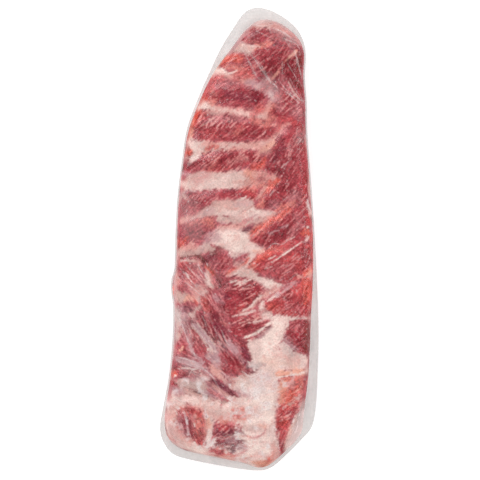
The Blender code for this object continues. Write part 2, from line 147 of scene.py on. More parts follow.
# Where each tissue shows. Later layers cover earlier ones. Each has its tissue, the softness and
# raggedness of its edge, its strength, then a chain of places, each x, y and half width in mm
LAYERS = (
    # Narrow end
    ("salmon", 3, 1, 0.8, (2,165,2.5, 9,172,3, 17,175,2.5, 28,174,3.5, 38,168,3.5, 46,161,3)),
    ("beige", 2.5, 0.8, 0.8, (10,175,1.5, 18,178,2, 27,177,1.2)),
    ("rose", 2.5, 1.2, 0.8, (26,170,4, 34,164,5, 42,158,5)),
    ("purple", 2, 1, 0.6, (13,167,2.5, 18,168,3, 20,163,3)),
    ("crimson", 2, 1, 0.7, (17,170,2, 20,165,2.5, 17,161,3)),
    ("purple", 1.5, 1.2, 0.6, (27,161,1.5, 34,158,2, 43,154,2)),
    ("pink", 1, 0.8, 0.7, (22,160,0.6, 26,162,1, 32,163,0.8)),
    ("crimson", 2.5, 1.2, 1, (9,145,6, 18,145,10, 30,146,9, 38,152,3)),
    ("dusty", 3, 1, 0.5, (6,146,4, 14,140,6)),
    ("dark", 2.5, 1.4, 0.6, (28,151,4, 32,145,5, 22,136,5, 20,131,3)),
    ("dark", 1.6, 1, 0.95, (49,151,2, 46,144,5.5, 40,137,4.5, 47,126,4)),
    ("rose", 2, 1.4, 0.5, (40,131,3, 48,134,2)), ("purple", 1.6, 1.2, 0.7, (28,129,3, 31,134,2)),
    ("salmon", 1.5, 0.8, 0.9, (9,153,1, 17,156,2, 27,159,1.6)),
    ("beige", 2.4, 0.8, 0.95, (-8,152,2, 0,156,4, 8,154,4)),
    ("cream", 1, 0.5, 0.7, (4,157.5,0.6, 12,156.5,0.9, 17,156,0.4)),
    ("salmon", 1.5, 0.8, 0.6, (8,161,1, 15,159.5,1)),
    ("orange", 2.4, 1, 0.8, (-14,144,2.5, -6,147,3.4, 1,146,3.4)),
    ("salmon", 2.4, 1.2, 0.8, (-10,140,2, -2,139,3, 5,136,3)),
    ("peach", 1.5, 0.8, 0.8, (-10,150,0.9, -17,142,1.4, -21,136,1.4)),
    ("salmon", 2.5, 1.5, 0.7, (-2,132,4, 8,131,4)),
    ("bright", 1.6, 0.7, 0.9, (-19,136,1.6, -14,136.5,2.6, -10,135,1.4)),
    ("pink", 2.4, 1.2, 0.9, (-14,133,2, -6,131.5,2, 2,129,2, 12,127,1.6)),
    ("cream", 0.8, 0.5, 0.8, (-10,133.5,0.6, -5,135,0.6, -1,137,0.4)),
    ("cream", 0.7, 0.4, 0.7, (3,131.5,0.4, 7,134,0.6)),
    ("orange", 1.8, 0.8, 0.7, (-22,130,1.6, -15,130,1.2)),
    ("peach", 0.9, 0.5, 0.9, (46,152,1.2, 41,147,0.9, 36,142,0.7, 32,135,0.8, 25,128,0.9)),
    ("pink", 1, 0.6, 0.6, (45,151,1.6, 41,148,1)),
    ("crimson", 2.6, 1.6, 0.8, (14,166,2.4, 24,166,4, 36,163,4, 43,158,3)),
    ("dark", 2.6, 1.6, 0.4, (8,160,2, 16,164,2.4)),
    # First muscle between ribs and the seam below it
    ("rose", 3, 1.4, 0.8, (-26,125,3, -14,127,4.5, -2,126,2.5)),
    ("crimson", 2.6, 1.8, 1, (-18,116,5.5, -5,117,6.4, 8,116,6, 18,116,4.4)),
    ("purple", 2.4, 1.6, 0.6, (-8,118,3.5, 4,115,4.5, 14,116,5)),
    ("dark", 1.8, 1.2, 0.7, (10,119,2.5, 18,117,3.2, 14,111,2)),
    ("dark", 1.4, 0.8, 0.7, (-12,110.5,0.8, -2,108.5,1.4, 10,109,1)),
    ("orange", 2.4, 1, 0.8, (-28,122,1.8, -27,116,2.6, -22,113,1.6)),
    ("salmon", 2.4, 1.2, 0.8, (-22,121,1.6, -19,113,2)),
    ("mauve", 2.4, 1.3, 0.9, (8,127,2, 17,124,3, 24,120,3.4, 28,113,2.6)),
    ("cream", 2.2, 1, 0.55, (17,123,1.6, 23,120,2, 27,115,1.4)),
    ("salmon", 2.5, 1.3, 0.9, (28,108,2.5, 24,104,3.5, 16,105,2.5)),
    ("pink", 2.5, 1.3, 0.7, (25,110,1.6, 22,104,1.8, 20,101,2.5)),
    ("red", 1.5, 1, 0.8, (31,116,1.8, 36,116,2.6)), ("dark", 1.5, 1, 0.6, (33,118,1.4, 38,113,1.6)),
    ("rose", 2, 1.4, 0.8, (32,107,2.5, 40,106,4, 49,103,3.5)),
    ("crimson", 1.8, 1.2, 0.7, (28,103,2.8, 35,99,3.6, 40,108,1.6)),
    ("dark", 1.5, 1, 0.6, (28,105,1.4, 34,99,2, 44,106,1.4)),
    ("dark", 1.5, 1, 0.5, (43,127,2, 48,121,2.5, 50,113,1.5)),
    ("bright", 2.5, 1, 0.9, (-33,109,2.2, -26,109,3, -20,107,2)),
    ("beige", 2.5, 1, 0.7, (-22,103,1.6, -16,102,1.6)),
    ("pink", 2.4, 1.4, 0.9, (-19,106,2.4, -5,104,2.6, 8,102,3, 20,100,3)),
    ("cream", 2, 1.2, 0.6, (-16,105,1.2, -6,104,1.4, 10,101,2, 18,100,1.2)),
    ("orange", 2.4, 1, 1, (-34,104,1.6, -33,99,3.6, -37,94,3)),
    ("crimson", 2, 1.2, 0.8, (-27,101,1.6, -24,97,2.5)),
    # Second muscle between ribs
    ("crimson", 2.6, 1.6, 1, (-32,90,4, -15,91,6.5, 0,89,7.5, 14,88,6, 26,87,4.5)),
    ("rose", 2.6, 1.6, 0.7, (-22,97,2.5, -8,98,2.5, 4,96,2.5)),
    ("dark", 2.8, 1.4, 0.45, (-6,87,3, 8,86,3.5, 24,86,3)),
    ("salmon", 2.6, 1.2, 0.7, (12,96,2.5, 22,93,3, 28,98,2)),
    ("dusty", 2.2, 1.2, 0.6, (-34,88,2, -28,87,3)),
    ("red", 2.2, 1.2, 0.8, (-30,83,2, -20,83,2.6, -10,82,2)),
    ("peach", 2, 0.8, 0.8, (-37,97,1.4, -38,89,1.8, -39,84,1.4)),
    ("pink", 0.8, 0.5, 0.8, (-30,92.5,0.4, -25,95,0.7, -20,99,0.5)),
    ("crimson", 2.2, 1.2, 0.8, (40,95,3, 48,91,5)), ("red", 1.8, 1.2, 0.8, (42,97,2, 50,90,3)),
    ("pink", 1.6, 1.2, 0.7, (28,93,1.8, 33,92,2, 40,94,1.2)),
    ("rose", 1.8, 1, 0.8, (32,88,2.5, 44,84,2.5, 53,83,2)),
    # Third rib
    ("cream", 2.4, 1.4, 1, (-39,79,2.6, -32,76,4.2, -26,79,2)),
    ("pink", 2.4, 1.6, 0.95, (-26,78,2, -12,77,2.4, 4,76.5,2.8, 20,77,3.4, 27,82,2.6)),
    ("cream", 2, 1.4, 0.7, (-12,78,1.6, 2,76,2.2, 12,74,1.2)),
    ("cream", 2, 1.4, 0.5, (20,78,2, 27,83,1.6, 33,90,1)),
    ("pink", 2.2, 1.2, 0.7, (22,80,2, 29,85,2.4, 35,91,1.8)),
    ("salmon", 1.8, 1.2, 0.7, (-14,73,1.4, -4,74,1.6)),
    # Third muscle between ribs
    ("crimson", 2.4, 2, 1, (-42,58,4, -32,60,5.5, -18,63,6.5, -3,65,6.5, 8,67,5.5, 15,67,3)),
    ("dusty", 3, 1.2, 0.55, (-36,57,4, -26,58,3, -20,66,2)),
    ("dark", 2.4, 1.4, 0.5, (-24,61,2.5, -10,66,2.6, 2,68,2)),
    ("dark", 1.2, 1, 0.6, (6,64,1.2, 14,66,1.6)),
    ("red", 2, 1.4, 0.8, (-27,56,1.8, -16,57,2.2, -8,59,1.6)),
    ("orange", 1.8, 1, 0.8, (12,59,2.2, 18,61,3, 21,66,1.2)),
    ("salmon", 1.8, 1.2, 0.9, (-27,71,2, -22,78,0.8)),
    ("salmon", 1.8, 1, 0.9, (-43,70,1.6, -40,73,2)),
    ("bright", 1.8, 1, 0.9, (-36,76,2.2, -33,70,3, -38,66,1.4)),
    ("cream", 1.4, 0.9, 0.7, (-41,62,0.8, -34,67,1.4)),
    ("beige", 2, 1.2, 0.7, (-44,66,1.2, -41,67,1.2)), ("mauve", 2, 1, 0.6, (-45,55,2, -40,53,2)),
    ("purple", 1.6, 1.2, 0.6, (-46,60,1.6, -41,61,2)),
    # Large muscles on the right, upper part
    ("crimson", 2.4, 1.6, 1, (49,88,3, 40,79,7, 34,68,9, 28,60,6)),
    ("crimson", 2.4, 1.4, 1, (51,76,4, 47,66,8, 42,56,8)),
    ("purple", 2.4, 1.4, 0.5, (37,81,3, 33,73,3, 27,65,3)),
    ("dark", 2, 1.4, 0.6, (48,72,2.5, 44,66,2.5, 38,66,2)),
    ("dark", 2, 1.4, 0.7, (23,58,2.5, 29,57,3, 36,53,2)),
    ("rose", 2.5, 1.4, 0.6, (49,84,3, 44,80,2, 40,72,1.6)),
    ("red", 2.5, 1.4, 0.6, (52,72,2, 48,50,3)),
    # Fourth rib, the broadest band
    ("pink", 2.2, 1, 0.9, (-48,46,3, -40,46,4.5, -26,48,5.5, -12,49,5.5, 0,51,5)),
    ("cream", 2.6, 0.8, 0.95, (-44,45.5,2.4, -38,45.5,3.6, -26,47,4.6, -12,49,5.2, 2,52,4.4)),
    ("beige", 2.4, 0.6, 0.8, (-40,51,1.8, -30,53.5,2.4, -20,52.5,2.5)),
    ("bright", 3, 0.6, 0.4, (-22,45,2, -6,47,3)),
    ("salmon", 2.2, 1.2, 0.9, (4,53,2, 8,50,3, 12,47,3)), ("peach", 2.2, 1, 0.7, (7,55,2, 13,52,3)),
    ("pink", 2.2, 1.5, 1, (14,52,3, 21,52,3.4, 28,50,2.2)),
    ("pink", 2, 1.5, 0.8, (8,43,1.2, 15,46,2.2, 22,48,1.6)),
    ("salmon", 2, 1.4, 0.8, (10,42,1.6, 17,44,2, 24,47,1.6)),
    # Fourth muscle between ribs
    ("crimson", 2.2, 1.4, 0.95, (-44,23,2, -43,28,4, -36,30,7.5, -27,32,5.5, -19,36,3,
        -10,37.5,3.8, 0,38,4.2, 8,38.5,4.6, 13,38,3)),
    ("dusty", 2.6, 1, 0.7, (-26,35,2.4, -18,36,2.4)),
    ("dusty", 2.6, 1.2, 0.5, (-34,26,3, -28,27,3)),
    ("purple", 1.6, 1.2, 0.5, (-46,28,1.4, -42,25,2.4, -44,21,1.4)),
    ("purple", 2, 1.2, 0.4, (-38,31,2, -30,29,2.4)),
    ("purple", 1.4, 0.8, 0.5, (-12,40,1, -3,41,1.4)),
    ("red", 1.8, 1.4, 0.9, (4,40,2.6, 8,37,3, 12,35,2)),
    ("salmon", 1.6, 1.2, 0.7, (5,43,1.6, 11,41,1.8)),
    ("cream", 0.8, 0.7, 0.8, (-3,31,0.6, 3,34,0.5)), ("cream", 0.8, 0.7, 0.8, (1,32,0.6, 6,36,0.5)),
    ("cream", 0.8, 0.7, 0.8, (6,32,0.7, 9,35,0.5)),
    ("mauve", 1.2, 0.5, 0.9, (-48,37.5,0.8, -44,39,0.9, -40,40.5,0.7, -34,40,0.6)),
    ("beige", 2, 0.6, 0.8, (-48,35,1.4, -45,37,1.2, -43,35,0.8)),
    # Fifth rib
    ("beige", 2.6, 1, 1, (-32,21,2.4, -24,24,4, -14,27,5.4, -2,27,5, 8,29,3.4)),
    ("mauve", 2.4, 0.8, 0.5, (-30,22,2, -22,25,2.5)),
    ("pink", 2.4, 0.8, 0.4, (-16,30,2, -8,29,2.5)), ("mauve", 2, 0.6, 0.45, (-2,29,2, 8,29.5,1.8)),
    ("cream", 2.4, 1, 0.9, (-16,22,1.6, -8,22,2, 2,20.5,2.6, 10,21.5,3, 20,21.5,3, 28,21.5,1.8)),
    ("bright", 1.8, 0.8, 0.8, (4,22,1.4, 9,25,1.6, 15,23.5,1.4)),
    ("salmon", 0.9, 0.5, 0.6, (3,21.5,0.4, 6,24.5,0.5, 10,27.5,0.4)),
    ("salmon", 0.9, 0.5, 0.5, (-6,25.5,0.5, -2,25.5,0.6)),
    ("pink", 2.4, 1, 0.9, (-46,16,2, -40,18,2.6, -34,20,1.6)),
    ("beige", 2, 0.8, 0.7, (-38,19,2, -30,19.5,1.4)),
    ("cream", 1.8, 0.8, 0.9, (-17,18,1, -13,18.4,1.3, -9,17.5,0.8)),
    ("mauve", 1.6, 0.9, 0.8, (-19,15.5,1, -12,14.5,1.4, -5,16,1.2, -3,18,0.5)),
    ("pink", 2, 1, 0.8, (-16,11.5,1.6, -6,11,2.2, 2,12,2)),
    ("cream", 1.8, 1, 0.8, (-2,17,1.4, 13,18,1.8)),
    ("mauve", 0.8, 0.6, 0.8, (5,15.5,0.4, 9,18.5,0.6, 14,21,0.4)),
    ("purple", 1.2, 0.9, 1, (4,9,1.3, 7,10.5,2.2, 12.5,14.5,0.6)),
    # Fifth muscle, left
    ("dusty", 3, 1.2, 1, (-47,6,3, -38,9,7, -29,12,6.5, -22,14,4.5, -17,14.5,1.2)),
    ("crimson", 3, 1.4, 0.5, (-44,9,3, -34,9,4, -27,10,3)),
    ("crimson", 3, 1.4, 0.5, (-40,0,4, -32,2,3)),
    ("purple", 1.6, 1.2, 0.45, (-48,7,1.4, -45,3,1.4, -48,0,1)),
    ("salmon", 2.4, 1, 0.8, (-29,16.5,1.6, -23,16.5,2, -22,12,2)),
    ("salmon", 2, 1, 0.5, (-40,14,1.4, -34,15,1.6)),
    ("orange", 2, 1, 0.7, (-49,1,1.4, -47,-4,1.4, -42,3,1)),
    ("pink", 2.4, 1.4, 0.8, (-46,-7,1.6, -39,-5,2.4, -34,-8,2, -38,-2,1)),
    ("beige", 2.4, 1, 0.9, (-48,-10,2.2, -38,-10,2, -30,-7,2.6, -26,-4,2.4)),
    ("mauve", 2.4, 1, 0.8, (-24,5,2, -27,-1,2.4, -29,-6,2)),
    # Right, middle part
    ("crimson", 2, 1.4, 1, (34,48,3, 42,48,5, 52,48,5)),
    ("crimson", 2, 1.4, 1, (26,40,4, 36,40,7, 47,38,8)),
    ("dark", 2.4, 1.4, 0.6, (30,44,2.5, 38,42,3.5, 45,38,2.5)),
    ("orange", 1.8, 1, 0.9, (20,37,1, 22,41,1.8, 27,45,2.2, 31,48,1.2)),
    ("pink", 1.4, 1, 0.8, (14,33,1, 18,38,1.6, 21,43,1.4)),
    ("salmon", 1.4, 1, 0.7, (16,32,0.8, 20,37,1)),
    ("crimson", 1.6, 1, 1, (16,28,1.6, 21,30,3.6, 28,31,6, 33,30,5)),
    ("mauve", 2.4, 1, 0.55, (26,29,3, 31,29,3)),
    ("dark", 1.8, 1.2, 0.6, (21,31,1.6, 24,29,1.8, 36,31,2)),
    ("salmon", 1.6, 1, 0.9, (14.5,27.5,1.2, 18,29,2, 19,32,1)),
    ("rose", 1.8, 1.5, 0.8, (40,31,3, 46,36,3, 50,32,2.4)),
    ("dusty", 1.8, 1.2, 0.6, (44,40,2.5, 49,38,2.5)),
    ("red", 1.6, 0.8, 0.8, (53,52,1.6, 53,44,1.6, 52,36,1.4, 52,28,1.4)),
    ("crimson", 2.2, 1.4, 1, (20,4,6, 34,8,9.5, 46,16,9.5, 52,24,3.5)),
    ("crimson", 2, 1.4, 1, (14,1,3, 26,0,5, 40,2,7, 53,5,5)),
    ("dark", 2.4, 1.4, 0.55, (25,6,3, 33,5,4, 38,11,3.5)),
    ("dark", 1.6, 1, 0.6, (27,10,1.4, 36,4,2)), ("rose", 2, 1.4, 0.5, (42,6,2.6, 48,12,3, 44,20,2)),
    ("orange", 2, 1.2, 0.85, (9,6,1.6, 17,11,2.4, 24,16,2.8, 33,20,2.4, 40,25,1.6)),
    ("salmon", 2, 1.4, 0.8, (9,1.5,1.8, 15,3,2.2, 20,6,2)),
    ("salmon", 1.8, 1.2, 0.8, (30,24,1.6, 37,28,1.8, 44,30,1.8)),
    ("pink", 1.2, 1, 0.7, (17,16,1, 24,19,1, 31,23,0.8)),
    ("cream", 0.9, 0.6, 0.9, (11,4.5,0.5, 15,7,0.8, 18,9.5,0.4)),
    ("orange", 1.8, 1.2, 0.8, (51,6,1.6, 55,7,2, 57,2,1.4)),
    ("cream", 1, 0.8, 0.7, (55,3,0.9, 54,0,0.9)),
    ("red", 1.4, 0.8, 1, (54,20,1.6, 56,17,2.4, 56,13,1.6)),
    ("bright", 0.8, 0.6, 0.8, (55,11,0.8, 58,11.2,0.6)),
    # Sixth rib and the wedge of fat
    ("cream", 2.6, 0.8, 1, (-16,5,4.5, -6,4,6.5, 3,4,5, 7,6,2)),
    ("cream", 2.4, 0.9, 1, (-20,0,3, -12,-1,4.6, -2,-3,7, 8,-5,4.6, 17,-8,2.6, 21,-9,1)),
    ("bright", 3, 0.8, 0.9, (-10,3,3, -2,2,4.5, 3,0,3.5, -4,-7,2.4)),
    ("mauve", 2.6, 0.8, 0.7, (-20,6,2.4, -17,3,2.2, -22,0,1.6)),
    ("peach", 1.8, 0.8, 0.7, (12,-8,1.2, 18,-9,1.8, 21,-8,1)),
    ("salmon", 1.2, 0.8, 0.7, (16,15,1.2, 11,9,1.2, 7,5,0.8)),
    # Right, lower middle
    ("red", 2, 1.4, 1, (12,-20,4, 26,-17,11, 40,-15,14, 52,-14,12)),
    ("dusty", 2.6, 1.2, 0.6, (20,-26,2.6, 32,-23,5, 42,-24,4)),
    ("crimson", 2, 1.4, 0.7, (18,-18,2.5, 26,-19,3, 34,-12,2.6)),
    ("crimson", 2, 1.4, 0.8, (40,-8,3, 46,-6,3.6, 52,-10,4, 54,-18,3)),
    ("crimson", 2, 1.4, 0.6, (30,-29,2, 42,-29,2.4, 50,-22,2)),
    ("orange", 2, 1.2, 0.7, (9,-18,2, 15,-14,2.4, 24,-9,2)),
    ("salmon", 1.8, 1, 0.8, (6,-21,1.4, 11,-21,1.8)),
    ("salmon", 1.6, 1, 0.5, (26,-6,1.4, 34,-8,1.6)),
    ("bright", 0.7, 0.4, 0.9, (26,-17,0.2, 31,-14,0.35, 36,-10.5,0.5, 42,-6.5,0.4, 50,-1,0.15)),
    ("cream", 0.7, 0.4, 0.7, (24,-14.5,0.4, 29,-12,0.5)),
    ("cream", 0.7, 0.4, 0.6, (38,0,0.4, 44,3,0.5)),
    ("cream", 0.7, 0.4, 0.6, (20,-22.5,0.3, 26,-20.5,0.4)),
    ("cream", 2.2, 1.2, 1, (-9,-26,1.6, -1,-25,2.6, 6,-26,3.4, 16,-31,2.6, 25,-35,4.4, 32,-36,3)),
    ("bright", 2.2, 1, 0.7, (22,-34,2.2, 30,-36,2)), ("beige", 2, 1, 0.6, (2,-26,2, 12,-28,2)),
    ("cream", 2, 1, 0.9, (1,-20,1.8, 6,-17,2, 10,-12,2.4)),
    ("orange", 1.2, 0.8, 0.9, (-11,-26.5,0.6, -6,-23,1.2, 0,-20,1.2, 4,-18,1, 7,-14,0.5)),
    ("salmon", 1, 0.7, 0.7, (-8,-27,0.5, -3,-24,0.6)),
    ("red", 2, 1.2, 0.9, (33,-32.5,1.4, 42,-31,2, 50,-28,1.6)),
    ("crimson", 1.4, 1, 0.8, (28,-31.5,1, 34,-33,1.4, 40,-32,1)),
    ("pink", 1.4, 1, 0.8, (46,-27,1.2, 50,-29,1, 57,-29,0.8)),
    ("orange", 1.4, 0.9, 1, (52,-27,1.6, 56,-25,1.8)),
    ("peach", 1, 0.7, 0.7, (55,-27.5,0.8, 57,-24,0.8)),
    # Sixth muscle between ribs, beside the deep fold
    ("dusty", 3, 1.4, 1, (-27,-13,3, -18,-14,7, -8,-16,6, 0,-15,3.4)),
    ("dusty", 2.4, 1.4, 0.9, (-18,-20,4, -14,-24,3)),
    ("crimson", 2.6, 1.4, 0.7, (-14,-14,3.6, -8,-17,4, -14,-21,3)),
    ("purple", 2.6, 1, 0.4, (-26,-14,2.5, -21,-12,2.5)),
    # Painted shade: dark brown spots
    ("shade", 2.6, 0.8, 0.6, (-20,-7,1.6, -20,-10,1.4, -15,-6,1.6)),
    ("mauve", 1.2, 0.8, 0.8, (-9,-11,0.5, -4,-14,0.6, 0,-11.5,0.5, 4,-10,0.4)),
    ("cream", 1.5, 0.8, 0.9, (-7,-9.5,1, -4,-12,1.2, -1,-10,0.8)),
    # Middle muscle with pale fibres
    ("crimson", 2.2, 1.4, 1, (-12,-34,4, 0,-37,7, 10,-38,5.5, 15,-39,3)),
    ("crimson", 2.2, 1.4, 1, (-14,-43,6, -2,-48,8, 6,-48,6)),
    ("dusty", 2, 1.2, 0.8, (-13,-34,2, -8,-33,2.4, -8,-37,2)),
    ("dark", 2, 1.2, 0.6, (11,-37,1.6, 15,-41,1.8, 16,-40,1.4)),
    ("purple", 1.6, 1.2, 0.8, (-17,-43,1.4, -12,-44,2.2, -8,-45,1.2)),
    ("dark", 2, 1.2, 0.5, (-8,-43,2, 0,-45,2, 6,-43,1.6)),
    ("cream", 0.7, 0.5, 0.9, (-5,-35.5,0.4, 0,-33,0.6, 5,-31,0.5)),
    ("cream", 0.7, 0.5, 0.9, (0,-35,0.4, 5,-32.5,0.7, 9,-30.5,0.5)),
    ("cream", 1, 0.7, 0.8, (-7,-32.5,0.8, -3,-31,0.8)),
    ("cream", 0.7, 0.5, 0.6, (2,-37.5,0.4, 8,-35,0.4)),
    ("red", 1.8, 1, 0.8, (-9,-57,1.6, -2,-56,2.2, 3,-52,1.8, 14,-42,1.4)),
    # Large muscle, lower right
    ("red", 2, 1.4, 1, (19,-52.5,2.6, 30,-50,8.5, 42,-48,13, 52,-46,13.5)),
    ("crimson", 2.4, 1.4, 0.7, (40,-48,4, 46,-54,5, 36,-42,3)),
    ("crimson", 2.4, 1.4, 0.5, (24,-48,2, 30,-44,3)),
    ("orange", 2.4, 1.4, 0.5, (22,-54,1.6, 28,-52,2.4, 32,-56,1.6)),
    ("orange", 2, 1, 0.95, (53,-33,3, 55,-42,3, 54,-47,2.4)),
    ("peach", 0.8, 0.5, 0.8, (51,-42,0.4, 52,-46.5,0.6, 57,-47.5,0.6)),
    ("rose", 1.2, 0.8, 0.7, (36,-46,0.8, 38,-54,0.9)),
    ("rose", 1.2, 0.8, 0.6, (46,-53,0.8, 48,-57,0.8)),
    ("rose", 1.6, 1.4, 0.9, (18,-48,2, 26,-42,3, 36,-37,2.4, 42,-35,2)),
    ("pink", 1.2, 1.2, 0.9, (0,-57.5,0.8, 8,-54,1.4, 14,-48,2, 22,-43,1.8, 32,-38,1.2)),
    ("cream", 0.8, 0.7, 0.9, (2,-56,0.5, 9,-52,0.8, 13,-47,0.9, 18,-43.5,0.5)),
    ("cream", 0.8, 0.7, 0.8, (22,-48,0.4, 28,-44,0.7, 34,-40,0.5)),
    ("mauve", 1, 0.8, 0.7, (30,-43,0.9, 38,-38,1, 45,-34,1)),
    # Muscle below, with pale fibres
    ("crimson", 2, 1.4, 0.95, (-6,-60.5,1.6, 4,-59.5,2.2, 13,-57.8,1.2)),
    ("crimson", 2, 1.4, 0.95, (-6,-64,3, 6,-63,2.8, 17,-61.5,1.2)),
    ("dusty", 2.4, 1.4, 1, (-8,-70,5, 0,-71,5.5)),
    ("crimson", 1.8, 1.4, 1, (-3,-72,4.5, 8,-69.5,4.6, 16,-66.5,2.8, 22,-64.5,0.8)),
    ("dark", 1.6, 1.2, 0.5, (4,-68,1.6, 14,-67,1.8)),
    ("cream", 0.9, 0.6, 0.8, (-6,-60.2,0.5, 2,-58.6,0.7, 12,-56,1)),
    ("pink", 0.9, 0.7, 0.8, (0,-65.5,0.4, 9,-63.5,0.6, 18,-60,0.7)),
    ("cream", 0.9, 0.7, 0.7, (8,-65.5,0.4, 16,-64,0.6, 22,-61,0.9)),
    ("red", 1.2, 0.8, 0.8, (5,-78.5,0.8, 11,-78,0.9)),
    ("dark", 1.6, 1.2, 0.6, (-2,-77,2, 2,-80,1.4)),
    # Big smooth fat
    ("cream", 2, 1.2, 1, (18,-51,1.6, 19,-57,2.6, 27,-61.5,1.8, 40,-62.5,1.4, 54,-62.2,0.9)),
    ("cream", 1.8, 1.4, 1, (31,-66,6, 29,-74,6, 21,-85,9.5, 19,-92,10, 26,-97,12)),
    ("cream", 1.8, 1, 1, (34,-84,3, 40,-95,7, 48,-97,6.5)),
    ("cream", 2.6, 1.4, 1, (24,-103,10, 14,-112,12, 8,-128,14, 14,-146,15)),
    ("cream", 2.6, 1.4, 1, (2,-112,6, -6,-134,10, 0,-150,12, 16,-162,14, 22,-172,8)),
    ("bright", 4, 1, 0.8, (31,-68,4, 20,-84,7, 18,-92,6, 30,-96,6)),
    ("peach", 4, 1, 0.35, (20,-96,3, 44,-101,3)),
    ("pink", 3, 1, 0.5, (45,-92,1.6, 44,-96,2, 28,-91,1.4)),
    ("grey", 3, 0.8, 0.6, (36,-86,1.6, 34,-82,1.4, 42,-90,1.6)),
    ("grey", 3.5, 1, 0.6, (8,-110,2, 14,-114,4, 18,-122,3)),
    ("mauve", 2, 0.8, 0.5, (14,-109,0.9, 21,-107,1.6, 23,-112,0.9)),
    ("bright", 4, 1, 0.5, (0,-112,3, 20,-128,5, 26,-120,3)),
    ("pink", 3, 0.8, 0.9, (26,-119,1.6, 28,-123,1.2)),
    # Isolated dark muscle on the right
    ("crimson", 1.2, 0.8, 1, (50,-68,5.2, 47,-74,10, 49,-80,9, 52,-86,4.4)),
    ("rose", 2, 1.2, 0.4, (42,-69,1.8, 48,-68,2.2)),
    ("dark", 2.4, 1.2, 0.7, (52,-72,2.6, 52,-80,3.6, 52,-87,2.6)),
    ("dark", 2, 1.2, 0.4, (42,-74,3, 45,-80,3)),
    ("purple", 1.2, 1, 0.6, (36,-75,1, 38,-80,1.2, 44,-86,1.2)),
    ("mauve", 0.9, 0.8, 0.8, (36,-79,0.8, 40,-83,0.9, 46,-86.5,0.9)),
    # Muscle at the end of the middle fat
    ("crimson", 2, 1.4, 1, (-8,-83,4, 1,-87,6, 0,-96,7, -4,-101,6.5)),
    ("crimson", 1.6, 1.2, 1, (-14,-104.5,2, -6,-105,2.6, 4,-104,2.6, 9,-103,1.2)),
    ("rose", 2.4, 1.2, 0.9, (-9,-83,2.4, -4,-84,2.6, 0,-88,1.6)),
    ("dark", 2, 1.4, 0.8, (-10,-93,2.4, -4,-94,3.6, 1,-98,2)),
    ("purple", 1.6, 1.4, 0.6, (3,-86,2, 6,-91,2.4, 4,-97,2)),
    ("dark", 1.4, 1, 0.7, (-14,-105,1, 3,-101,1.4, 8,-103.5,0.6)),
    ("grey", 1.6, 0.8, 0.9, (6,-100,1.6, 11,-99.5,1.6, 16,-98,0.8)),
    ("mauve", 1.2, 0.6, 0.8, (8,-103,0.5, 20,-99,0.4)),
    ("purple", 1.2, 0.8, 0.8, (13,-77.5,0.8, 17,-75.8,1.2, 19,-74.5,0.6)),
    ("purple", 1.2, 0.8, 0.7, (21,-71,0.6, 24,-68.5,1, 25,-67,0.5)),
    ("mauve", 1.2, 0.6, 0.6, (12,-79.5,0.5, 20,-74,0.7, 25,-69,0.5)),
    ("bright", 1, 0.5, 0.9, (4,-77,0.5, 12,-74,0.9, 19,-69.5,1.1, 24,-66,0.7)),
    # Left, below the fold
    ("crimson", 2.6, 1.6, 0.6, (-46,-22,3, -38,-25,5, -38,-32,4)),
    ("beige", 1.6, 0.6, 0.9, (-50,-16,0.8, -44,-15.5,1, -36,-15.5,0.9)),
    ("red", 1.2, 0.8, 0.9, (-49,-19,0.7, -44,-17.6,0.9, -40,-17.5,0.5)),
    ("crimson", 2, 1.2, 0.6, (-48,-34,2, -46,-38,1.6)),
    ("beige", 2.4, 0.8, 0.95, (-25,-24,1.4, -25,-30,2.4, -23,-36,2.6)),
    ("cream", 1.8, 0.8, 0.8, (-25,-33,1.6, -23,-36,1.6)),
    ("pink", 2.4, 1.2, 0.6, (-36,-36,2.4, -30,-38,2.4)),
    ("dusty", 2.4, 1.2, 1, (-20,-32,2, -16,-38,3, -20,-48,5)),
    ("crimson", 2.4, 1.2, 0.9, (-25,-39,2.6, -26,-48,4, -18,-54,6, -8,-56,4)),
    ("mauve", 2, 1, 0.7, (-21,-44,1.6, -18,-47,2, -14,-50,1.4)),
    ("rose", 2, 1.2, 0.7, (-22,-50,1.6, -16,-55,2.6, -12,-58,1.6)),
    ("dark", 1.8, 1.2, 0.7, (-16,-50,1.2, -12,-53,1.6, -5,-51,1.2)),
    ("salmon", 2.2, 0.8, 0.9, (-28,-45,1.6, -28,-50,2, -26,-55,1.4)),
    ("beige", 2.6, 0.8, 0.9, (-50,-42,2.6, -47,-46,3, -44,-43,1.6)),
    ("peach", 1.6, 0.9, 0.9, (-44,-48,0.8, -41,-44.5,1.4, -38,-46,1.4)),
    ("orange", 1.4, 0.8, 0.9, (-37,-45,0.8, -35,-48,1.2, -34,-51.5,0.8)),
    ("beige", 2.4, 0.8, 0.8, (-34,-54,2, -37,-58,2, -32,-52,1.4)),
    ("mauve", 2.6, 1, 0.9, (-47,-54,2.4, -45,-60,3, -46,-68,2.4)),
    ("grey", 2.4, 0.8, 0.95, (-51,-54,1.6, -50,-62,2, -50,-70,1.6, -52,-80,0.8)),
    ("purple", 1.4, 1.2, 0.9, (-45,-55,1.4, -41,-53.5,2, -38,-55,1.6)),
    ("cream", 1.4, 0.8, 0.9, (-40,-59,0.8, -37,-61,1.6, -36,-63,1)),
    ("crimson", 2.4, 1.4, 1, (-33,-58,2, -30,-63,2.4, -22,-78,2)),
    ("purple", 2.4, 1.4, 0.7, (-31,-58,1.6, -24,-76,1.8)),
    ("crimson", 2.4, 1.4, 1, (-21,-60,3, -18,-68,5, -14,-76,4)),
    ("dark", 2, 1.2, 0.7, (-21,-62,1.6, -17,-75,2.6, -11,-80,2.4)),
    ("salmon", 1.6, 1, 0.8, (-22,-64,1, -17,-64,1.2, -12,-67,1)),
    ("mauve", 1.6, 0.8, 0.8, (-26,-58,1.2, -25,-66,1.2, -23,-72,0.8)),
